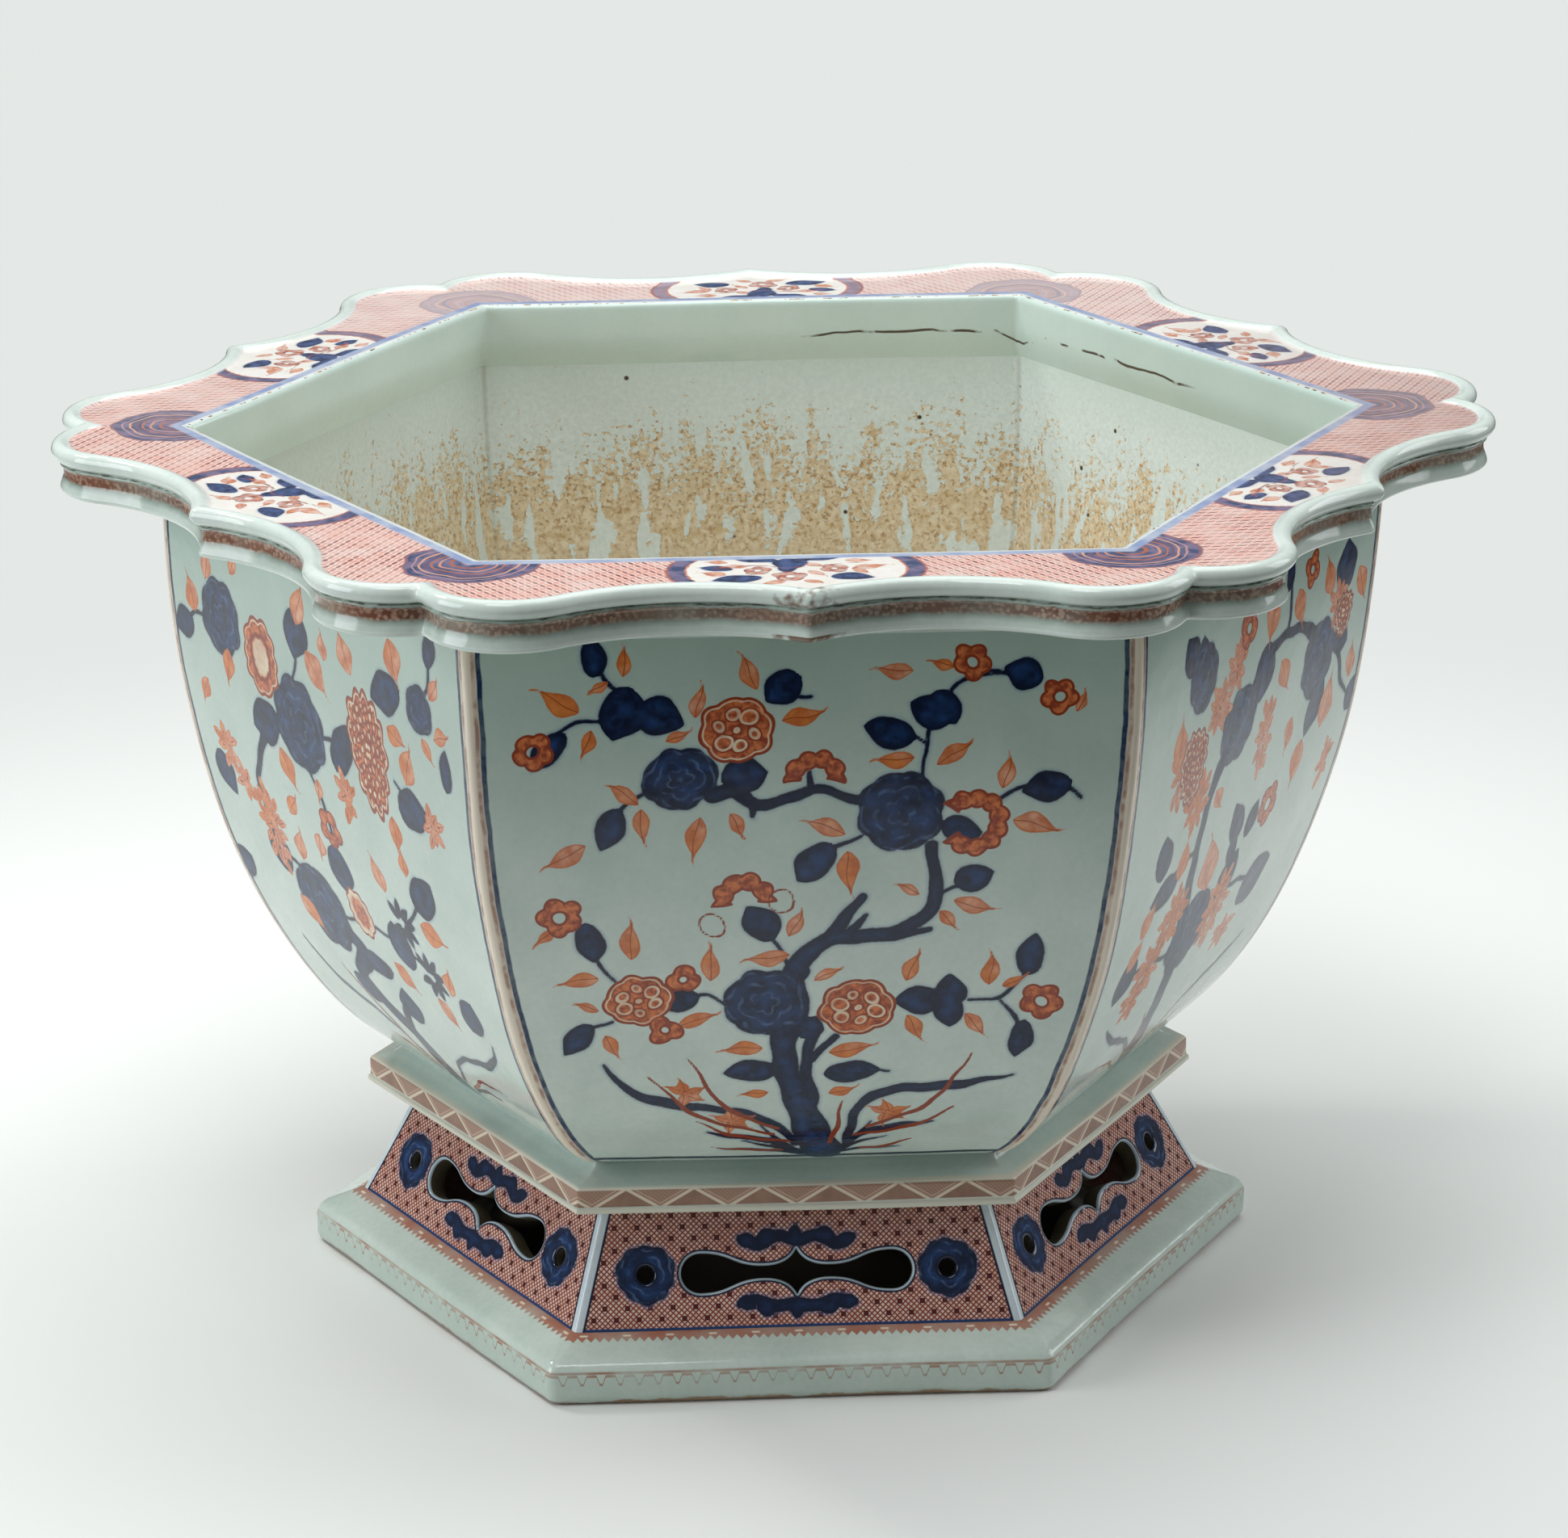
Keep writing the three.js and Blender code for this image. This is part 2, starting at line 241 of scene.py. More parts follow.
def settle(points):
    """How far the clay moved in drying and firing: slow waves of position, about half a millimetre."""
    x, y, z = np.moveaxis(points, -1, 0)
    return np.stack([
        0.45 * np.sin(0.023 * y + 0.017 * z + 1.3) + 0.2 * np.sin(0.061 * z - 0.043 * y),
        0.45 * np.sin(0.021 * x - 0.019 * z + 0.4) + 0.2 * np.sin(0.057 * z + 0.047 * x),
        0.35 * np.sin(0.019 * x + 0.4) * np.sin(0.023 * y + 2.1) * np.clip(z / 60, 0, 1),
    ], axis=-1)


print("a side at half width 203.5 mm is", round(2 * 203.5 * TAN_MITRE, 1), "mm long")

# %% [markdown]
# A mesh is filled from whole arrays with foreach_set, which takes a fraction of the time of adding
# vertices one by one. Painted fields go in as point attributes, and the shader reads them by name.

# %% From arrays to a piece
SHARP_ANGLE = math.radians(42)


def put_piece(name, points, faces, fields, materials, zones, nodes):
    """Makes one closed piece: points in mm, faces as arrays of vertex numbers, and its painted fields."""
    mesh = bpy.data.meshes.new(name)
    loops = np.concatenate([f.ravel() for f in faces]).astype(np.int32)
    sizes = np.concatenate([np.full(len(f), f.shape[-1]) for f in faces])
    mesh.vertices.add(len(points))
    mesh.loops.add(len(loops))
    mesh.polygons.add(len(sizes))
    mesh.vertices.foreach_set("co", (points * MM).astype(np.float32).ravel())
    mesh.loops.foreach_set("vertex_index", loops)
    mesh.polygons.foreach_set("loop_start", (np.cumsum(sizes) - sizes).astype(np.int32))
    mesh.polygons.foreach_set("material_index", np.asarray(zones, np.int32))
    mesh.polygons.foreach_set("use_smooth", np.ones(len(sizes), bool))
    for field, values in fields.items():
        kind, key = ("FLOAT_VECTOR", "vector") if values.shape[-1] == 3 else ("FLOAT", "value")
        store = mesh.attributes.new(field, kind, "POINT")
        store.data.foreach_set(key, values.astype(np.float32).ravel())
    for material in materials:
        mesh.materials.append(material)
    mesh.update(calc_edges=True)
    mesh.validate()
    mesh.set_sharp_from_angle(angle=SHARP_ANGLE)
    piece = bpy.data.objects.new(name, mesh)
    bpy.context.scene.collection.objects.link(piece)
    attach(piece, "root")
    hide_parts(*nodes)
    return piece


def put_slab(name, side, s, n, z, fields, materials, row_zones, node):
    """A slab whose closed section runs down the rows, anticlockwise in (n, z), carried along the
    columns from the left mitre to the right. Both ends are closed by a flat face on the mitre."""
    out, right = side_axes(side)
    points = n[..., None] * out + s[..., None] * right + z[..., None] * np.array([0, 0, 1])
    points = (points + settle(points)).reshape(-1, 3)
    rows, columns = s.shape
    grid = np.arange(rows * columns).reshape(rows, columns)
    after = np.roll(grid, -1, axis=0)
    quads = np.stack([grid[:, :-1], grid[:, 1:], after[:, 1:], after[:, :-1]], -1).reshape(-1, 4)
    ends = np.stack([grid[:, 0], grid[::-1, -1]])
    zones = np.concatenate([np.repeat(row_zones, columns - 1), [0, 0]])
    return put_piece(name, points, [quads, ends], fields, materials, zones, [node])


def soften(corners, step):
    """A section with rounded corners. `corners` are (x, y, radius); each corner becomes a short
    parabola that leaves its edges at the radius, and straight stretches are cut into steps."""
    corners = np.array(corners, float)
    places = corners[:, :2]
    before, after = np.roll(places, 1, axis=0), np.roll(places, -1, axis=0)
    t = np.linspace(0, 1, 6)[:, None]
    points = []
    for p, a, b, radius in zip(places, before, after, corners[:, 2]):
        start, end = (p + (q - p) * min(radius / np.linalg.norm(q - p), 0.45) for q in (a, b))
        points.append((1 - t) ** 2 * start + 2 * t * (1 - t) * p + t ** 2 * end)
    points = np.concatenate(points)
    filled = []
    for a, b in zip(points, np.roll(points, -1, axis=0)):
        count = max(1, int(np.ceil(np.linalg.norm(b - a) / step)))
        filled.append(a + (b - a) * np.linspace(0, 1, count, endpoint=False)[:, None])
    return np.concatenate(filled)


print("helpers ready: put_piece, put_slab, soften")

# %% [markdown]
# Porcelain glaze is clear glass, half a millimetre thick, over a white body. A little iron in it gives
# the cool grey-green tint. It is never quite even: it pools, it holds pinholes and dark iron specks,
# and its surface waves like orange peel. All other finishes start from this one.

# %% The bare glaze
def clouds(tree, scale, detail=2.0):
    """Noise on the piece's own coordinates; its patches are about 1000 / scale mm wide."""
    return add(tree, "TexNoise", {
        "Vector": add(tree, "TexCoord", out=OBJECT_PLACE), "Scale": scale, "Detail": detail})


def bare_glaze(tree, pale="#cedbd2", deep="#bfcec5"):
    """The glaze's own colour: soft clouds 30 mm wide, and iron specks 0.4 mm wide about 25 mm apart."""
    tone = add(tree, "Mix", [0.3, None, clouds(tree, 34.0, 3.0), clouds(tree, 420.0)], data_type="FLOAT")
    tone = add(tree, "MapRange", [tone, 0.35, 0.65])
    cell = add(tree, "TexVoronoi", {"Vector": add(tree, "TexCoord", out=OBJECT_PLACE), "Scale": 40.0})
    speck = add(tree, "MapRange", [cell, 0.022, 0.012])
    some = add(tree, "MapRange", [clouds(tree, 19.0), 0.56, 0.6])
    return coats(tree, deep, [(tone, pale), (both_of(tree, speck, some), "#6d5a48")])


def glazed(material, tree, colour, roughness=0.09, wave=0.35, grain=None):
    """Ends a glazed finish: a glossy surface whose reflections waver over a few millimetres."""
    bump = add(tree, "Bump", {"Strength": wave, "Distance": 0.0006, "Height": clouds(tree, 85.0)})
    if grain is not None:
        bump = add(tree, "Bump", {"Strength": 0.5, "Distance": 0.0005, "Height": grain, "Normal": bump})
    surface = add(tree, "BsdfPrincipled", {
        "Base Color": colour, "Roughness": roughness, "IOR": 1.5, "Normal": bump})
    add(tree, "OutputMaterial", [surface])
    print("finish:", material.name)
    return material


def field_of(tree, name):
    """Reads a painted field of the mesh, in millimetres."""
    return add(tree, "Attribute", out=2, attribute_name=name)


def parts_of(tree, name):
    """Reads a stored vector of the mesh as three sockets."""
    return add(tree, "SeparateXYZ", [add(tree, "Attribute", out=1, attribute_name=name)], out=XYZ)


def height_mm(tree):
    """The height above the ground in mm."""
    z = add(tree, "SeparateXYZ", [add(tree, "TexCoord", out=OBJECT_PLACE)], out=2)
    return add(tree, "Math", [z, 1000.0], operation="MULTIPLY")


print("glaze ready")

# %% [markdown]
# The painters worked with two pigments. Cobalt went on before the glaze, so it lies under it, soft and
# uneven, dark where the brush was full. Iron red went on after the first firing, thin and orange in
# the washes, dark brown-red in the outlines. A shader can draw both from distances: a wash fills what
# lies inside a shape, and an outline is a band on either side of distance zero.

# %% Brush marks as masks
def brush_noise(tree, size_mm, low, high, least=0.0, most=1.0):
    """Unevenness of a brushed wash: noise with patches of a size, stretched to run from least to most."""
    return add(tree, "MapRange", [clouds(tree, 1000 / size_mm, 4.0), low, high, least, most])


def brushed(tree, size_mm, low, high, first, second):
    """A wash of two colours, in patches of a size."""
    return coats(tree, first, [(brush_noise(tree, size_mm, low, high), second)])


def wandering(tree, value, noise, reach):
    """A value that noise from 0.3 to 0.7 moves by -reach to reach."""
    shift = add(tree, "MapRange", [noise, 0.3, 0.7, -reach, reach])
    return add(tree, "Math", [value, shift], operation="ADD")


def rough_edge(tree, field, reach):
    """A field whose edge wanders by a share of a millimetre, as a brush line on a thirsty body does."""
    return wandering(tree, field, clouds(tree, 480.0, 1.0), reach)


def band(tree, field, centre, half, soft=0.18):
    """1 where a field lies within `half` of `centre`, falling to 0 over a soft edge, all in mm."""
    away = add(tree, "Math", [field, centre], operation="SUBTRACT")
    away = add(tree, "Math", [away], operation="ABSOLUTE")
    return add(tree, "MapRange", [away, half + soft, half - soft], interpolation_type="SMOOTHSTEP")


def inside(tree, field, edge=0.0, soft=0.22):
    """1 where a field is below an edge, with a soft border."""
    return add(tree, "MapRange", [field, edge + soft, edge - soft], interpolation_type="SMOOTHSTEP")


print("brush marks: noise, wash, rough edge, band and inside")

# %% The two pigments
COBALT_DEEP = "#0c1832"
COBALT_WASH = "#1d3b69"
COBALT_PALE = "#5f7ba6"
IRON_LINE = "#8c3a1f"
IRON_DARK = "#bd612f"
IRON_WASH = "#dc8543"
IRON_PALE = "#e1a787"
CREAM = "#e6d6ba"


def iron_painting(tree, ground):
    """Lays the iron-red motifs over a ground: leaves with a darker edge and a rib, from salmon to
    ochre; brown flowers whose petals are light rings round a brown heart; and single strokes."""
    leaf = rough_edge(tree, field_of(tree, "leaf"), 0.1)
    blade = inside(tree, leaf, soft=0.3)
    wash = brushed(tree, 24.0, 0.42, 0.58, IRON_WASH, IRON_PALE)
    wash = coats(tree, wash, [(brush_noise(tree, 5.0, 0.35, 0.65, 0.0, 0.8), IRON_DARK)])
    rib = band(tree, field_of(tree, "rib"), 0.0, 0.16)
    verge = add(tree, "MapRange", [leaf, -1.1, 0.0, 0.0, 0.85])
    bloom = field_of(tree, "bloom")
    heart = field_of(tree, "petal")
    disc = inside(tree, bloom)
    spot = brush_noise(tree, 9.0, 0.35, 0.65, 0.45, 1.0)
    petal = both_of(tree, band(tree, heart, -0.75, 0.5, 0.3), disc, spot)
    line = both_of(tree, band(tree, bloom, -1.6, 0.3), inside(tree, heart, 8.4), spot)
    stroke = inside(tree, rough_edge(tree, field_of(tree, "iron"), 0.1))
    return coats(tree, ground, [
        (blade, wash), (both_of(tree, verge, blade), IRON_DARK), (both_of(tree, rib, blade), IRON_LINE),
        (disc, brushed(tree, 2.6, 0.38, 0.62, "#94412a", "#d87a47")), (petal, CREAM),
        (both_of(tree, band(tree, heart, 0.2, 0.3), disc), IRON_LINE), (line, CREAM),
        (band(tree, bloom, -0.4, 0.5), IRON_LINE), (stroke, IRON_LINE)])


def cobalt_painting(tree, ground):
    """Lays the cobalt motifs over a ground. The wash is dark where the brush outlined a shape and
    paler in its middle; inside a flower, pale lines part the petals."""
    cobalt = rough_edge(tree, field_of(tree, "cobalt"), 0.1)
    middle = both_of(tree, add(tree, "MapRange", [cobalt, -0.9, -4.0]), brush_noise(tree, 6.0, 0.36, 0.66))
    turn = add(tree, "Math", [field_of(tree, "scallop"), 0.5], operation="PINGPONG")
    petals = add(tree, "MapRange", [turn, 0.2, 0.06, 0.0, 0.45])
    petals = both_of(tree, petals, brush_noise(tree, 5.0, 0.42, 0.64))
    wash = coats(tree, COBALT_DEEP, [(middle, COBALT_WASH), (petals, COBALT_PALE)])
    halo = add(tree, "MapRange", [cobalt, 1.6, 0.0, 0.0, 0.35])
    return coats(tree, ground, [(halo, COBALT_PALE), (inside(tree, cobalt, soft=0.4), wash)])


print("pigments: cobalt", COBALT_DEEP, COBALT_WASH, "iron red", IRON_LINE, IRON_WASH)

# %% [markdown]
# The sides show old flowering trees, and the painting is generic to its kind: trunk, blooms, buds and
# leaves in free order. Each motif is one function over the points of a whole side. It works out the
# distance from every point to the motif's edge, and keeps it where it is the nearest so far.

# %% A sheet to paint on
FAR = 9.0
NO_SCALLOP = 0.5
PAINT_FIELDS = ("cobalt", "leaf", "rib", "iron", "bloom", "petal", "scallop")


def blank_sheet(x, y):
    """The points of one side, x to the right and y up in mm, with nothing painted near them yet. The
    points are shaken by slow waves of 0.4 mm, so that no motif comes out mechanically true."""
    x, y = x.ravel(), y.ravel()
    sheet = {name: np.full(x.size, FAR) for name in PAINT_FIELDS}
    sheet["scallop"] = np.full(x.size, NO_SCALLOP)
    sheet["x"] = x + 0.4 * np.sin(0.37 * y + 0.11 * x)
    sheet["y"] = y + 0.4 * np.sin(0.41 * x + 0.9)
    return sheet


def near(sheet, x, y, reach):
    """Numbers of the points in a square round a place."""
    return np.flatnonzero((np.abs(sheet["x"] - x) < reach) & (np.abs(sheet["y"] - y) < reach))


def direction(turn, length=1.0):
    """A vector of a length, turned so many degrees from the x axis."""
    return length * np.array([math.cos(math.radians(turn)), math.sin(math.radians(turn))])


def around(sheet, x, y, reach, turn=0):
    """Numbers of the points round a place, and their coordinates along and across a direction."""
    at = near(sheet, x, y, reach)
    c, s = direction(turn)
    dx, dy = sheet["x"][at] - x, sheet["y"][at] - y
    return at, c * dx + s * dy, c * dy - s * dx


def lay(sheet, field, at, distance, **inner):
    """Keeps the smaller of two distances, which joins two shapes. Where the new shape is the nearer
    one, its inner fields take over."""
    closer = distance < sheet[field][at]
    for name, values in inner.items():
        sheet[name][at[closer]] = np.broadcast_to(values, at.shape)[closer]
    sheet[field][at] = np.minimum(sheet[field][at], distance)


print("a sheet has the fields", PAINT_FIELDS)

# %% Brush lines, buds and leaves
def smooth_line(points, steps=6):
    """A Catmull-Rom curve: between b and c it leaves b parallel to c - a and reaches c parallel to
    d - b, where a and d are the points before and after."""
    p = np.array(points, float)
    p = np.vstack([2 * p[0] - p[1], p, 2 * p[-1] - p[-2]])
    t = np.linspace(0, 1, steps, endpoint=False)[:, None]
    spans = [0.5 * (2 * b + (c - a) * t + (2 * a - 5 * b + 4 * c - d) * t ** 2
                    + (3 * b - a - 3 * c + d) * t ** 3)
             for a, b, c, d in zip(p, p[1:], p[2:], p[3:])]
    return np.vstack([*spans, p[-2]])


def stroke(sheet, points, widths, field="cobalt"):
    """A brush line: round-ended lengths along a smooth curve, their width running through `widths`."""
    line = smooth_line(points)
    half = np.interp(np.linspace(0, 1, len(line)), np.linspace(0, 1, len(widths)), widths) / 2
    for a, b, first, last in zip(line, line[1:], half, half[1:]):
        middle, run = (a + b) / 2, b - a
        at = near(sheet, *middle, np.abs(run).max() / 2 + first + 2.5)
        dx, dy = sheet["x"][at] - a[0], sheet["y"][at] - a[1]
        t = np.clip((dx * run[0] + dy * run[1]) / (run @ run), 0, 1)
        lay(sheet, field, at, np.hypot(dx - t * run[0], dy - t * run[1]) - first - (last - first) * t)


def bud(sheet, x, y, length, width, turn, field="cobalt"):
    """A bud of the given half length and half width: half an ellipse behind and a point in front."""
    at, u, v = around(sheet, x, y, length + 4, turn)
    t = np.clip(u / length, -1, 1)
    edge = width * np.where(t < 0, np.sqrt(1 - t * t), np.cos(t * np.pi / 2) ** 0.85)
    beyond = np.clip(np.abs(u) - length, 0, None)
    lay(sheet, field, at, np.where(beyond > 0, np.hypot(beyond, v), np.abs(v) - edge))


def leaf(sheet, x, y, length, turn, width=0.5, bend=0.16):
    """A leaf about its middle: half width sin(pi t ** 0.85), with t from stalk to tip, and a midrib bent
    to a parabola. It also stores the distance across the rib, and ends in a hair-thin tail."""
    at, u, v = around(sheet, x, y, length * 0.5 + 4, turn)
    t = np.clip(u / length + 0.5, 0, 1)
    v = v - bend * length * (t - 0.5) * np.abs(t - 0.5) * 2
    edge = width * length / 2 * np.sin(np.pi * t ** 0.85)
    beyond = np.abs(u) - length / 2
    lay(sheet, "leaf", at, np.where(beyond > 0, np.hypot(beyond, v), np.abs(v) - edge), rib=v + 0.3)
    along, across = direction(turn, length), direction(turn + 90, length)
    tail = [(x, y) + a * along + bend * b * across for a, b in ((0.42, 0.3), (0.58, 0.6), (0.7, 1.1))]
    stroke(sheet, tail, [1.2, 0.8, 0.5], "leaf")


def tuft(sheet, x, y, wide, tall, count):
    """A loose heap of dabs in iron red, each with a darker stroke in it. Dab k stands at k golden angles
    and at a share sqrt(k / count) of the way out of an ellipse, and points outward."""
    for k in range(count):
        out, up = direction(137.5 * k) * (wide, tall)
        way = math.degrees(math.atan2(up, out))
        at = math.sqrt((k + 0.3) / count) * np.array([out, up]) + (x, y)
        bud(sheet, *at, 3.9, 2.1, way, "leaf")
        stroke(sheet, [at - direction(way, 2.2), at + direction(way, 2.2)], [0.9, 0.5], "iron")


def scatter(sheet, motif, spots, **settings):
    """The same motif at many places."""
    for spot in spots:
        motif(sheet, *spot, **settings)


print("brush motifs: stroke, bud, leaf, tuft")

# %% Flowers
def peony(sheet, x, y, radius, lobes=8, squash=1.0):
    """A full blue flower: a disc with shallow lobes. Inside, the field `scallop` counts rings of
    petals: 3.4 r / R less a wave of |cos| round the middle, whose whole numbers are petal edges."""
    at, u, v = around(sheet, x, y, radius * 1.3 + 3, 20)
    r, angle = np.hypot(u, v / squash), np.arctan2(v, u)
    lay(sheet, "cobalt", at, r - radius * (0.95 + 0.07 * np.abs(np.cos(lobes * angle / 2))))
    rings = 3.4 * r / radius - 0.5 * np.abs(np.cos(2.5 * angle + 2.2 * r / radius)) + 0.3
    within = r < radius * 0.98
    sheet["scallop"][at[within]] = rings[within]


def petal_middle(r, angle, share, out):
    """The distance from the nearest petal's middle. The middles stand `out` from the flower's own, and
    the angle is folded into the share of one petal."""
    folded = np.mod(angle, share) - share / 2
    return np.hypot(r * np.cos(folded) - out, r * np.sin(folded))


def rose(sheet, x, y, radius, petals=6, lobes=8):
    """An iron-red flower: a lobed disc, and in it a ring of touching petals. The petal field is the
    distance to the nearest petal's edge."""
    at, u, v = around(sheet, x, y, radius * 1.3 + 3, 13)
    r, angle = np.hypot(u, v * 1.1), np.arctan2(v, u)
    size = 0.42 * radius * np.pi / petals * (1 + 0.25 * np.sin(2 * angle + x))
    petal = petal_middle(r, angle, 2 * np.pi / petals, 0.5 * radius) - size
    lay(sheet, "bloom", at, r - radius * (0.96 + 0.09 * np.abs(np.cos(lobes * angle / 2))),
        petal=np.minimum(petal, r - 0.12 * radius))


def wreath(sheet, x, y, radius, petals=5, turn=20, gap=0):
    """An open flower: round petals of half width 1.35 pi c / n in a ring of radius c about a bare
    middle. A gap leaves out what lies within so many degrees of the opposite of `turn`."""
    at, u, v = around(sheet, x, y, radius * 1.3 + 3, turn)
    r, angle = np.hypot(u, v), np.arctan2(v, u)
    wide = 1.35 * np.pi / petals
    ring = radius / (1 + wide)
    petal = petal_middle(r, angle, 2 * np.pi / petals, ring)
    distance = np.maximum(petal - wide * ring, ring * 0.5 - r)
    if gap:
        distance = np.maximum(distance, -u - r * math.cos(math.radians(gap)))
    lay(sheet, "bloom", at, distance, petal=FAR)


def mum(sheet, x, y, radius, squash=1.0):
    """An iron-red flower of many small petals, in rings 3 mm apart; ring k holds 4 + 5 k of them."""
    at, u, v = around(sheet, x, y, radius * squash * 1.1 + 3)
    r, angle = np.hypot(u, v / squash), np.arctan2(v / squash, u)
    ring = np.floor(r / 3)
    petal = petal_middle(r, angle + 0.7 * ring, 2 * np.pi / (4 + 5 * ring), 3 * ring + 1.5) - 1.0
    petal = petal + 0.35 * np.sin(0.9 * u + 1.1 * v) * np.sin(0.5 * u - 0.8 * v)
    edge = radius * (0.88 + 0.14 * np.abs(np.cos(6.5 * angle)) + 0.05 * np.sin(3 * angle))
    lay(sheet, "bloom", at, r - edge, petal=petal)


def sun(sheet, x, y, radius, pale=0.33):
    """An iron-red flower in one wash, with a broad pale ring at a share of its radius, or a pale heart
    if the share is small."""
    at, u, v = around(sheet, x, y, radius * 1.3 + 3)
    r, angle = np.hypot(u, v / 1.2), np.arctan2(v, u)
    edge = radius * (1 + 0.12 * np.abs(np.cos(5 * angle)))
    petal = 0.35 * (r - pale * edge) - 0.75
    if pale < 0.5:
        petal = np.maximum(petal, -0.75 + 0.5 * np.sin(2.2 * u) * np.sin(2.2 * v))
    lay(sheet, "bloom", at, r - 0.92 * edge, petal=petal)


print("flowers: peony, rose, wreath, mum, sun")

# %% [markdown]
# The front tree rises from a clump of grass and orchids, forks low and swings to the right. Positions
# are in mm on the side: x from its middle to the right, y up the curve of the wall from its base.

# %% The tree on the front side
def paint_grass(sheet):
    """Long blades and two small orchids at the foot of a tree."""
    scatter(sheet, stroke, [
        ([(-75, 81), (-66, 66), (-51, 58), (-38, 55), (-21, 51), (-8, 41), (-1, 28)],
         [1.4, 4, 6, 4.4, 4, 4.4, 4]),
        ([(19, 28), (20, 41), (24, 56), (36, 64), (59, 66), (82, 71)], [4, 4, 4.4, 5.4, 5.6, 1.2]),
        ([(18, 24), (22, 32), (29, 38), (41, 41), (52, 43)], [4, 4, 4.6, 4, 1.2]),
        ([(-36, 38), (-26, 35), (-11, 31), (-4, 24)], [1.2, 3.4, 4.4, 4])])
    for line in ([(-30, 24), (-14, 23), (2, 18)], [(40, 23), (24, 22), (12, 18)],
                 [(-16, 46), (-8, 31), (4, 18)], [(28, 44), (20, 30), (13, 18)],
                 [(-22, 31), (-10, 26), (4, 18)], [(34, 33), (22, 27), (12, 18)]):
        stroke(sheet, line, [0.8, 2.4, 3])
    for tip, root in (((-43, 84), (-8, 40)), ((-40, 46), (-4, 30)), ((16, 58), (12, 28)),
                      ((-58, 74), (-10, 36)), ((60, 53), (22, 34)), ((-34, 26), (-6, 22)),
                      ((44, 30), (24, 22)), ((66, 84), (26, 40))):
        middle = (tip[0] * 0.6 + root[0] * 0.4, tip[1] * 0.35 + root[1] * 0.65)
        stroke(sheet, [tip, middle, root], [0.8, 2.4, 1.8], "iron")
    for orchid in ((-26, 46), (34, 50), (-44, 64)):
        for turn in (15, 100, 150, 255, 320):
            leaf(sheet, *(orchid + direction(turn, 4)), 8, turn, 0.6)


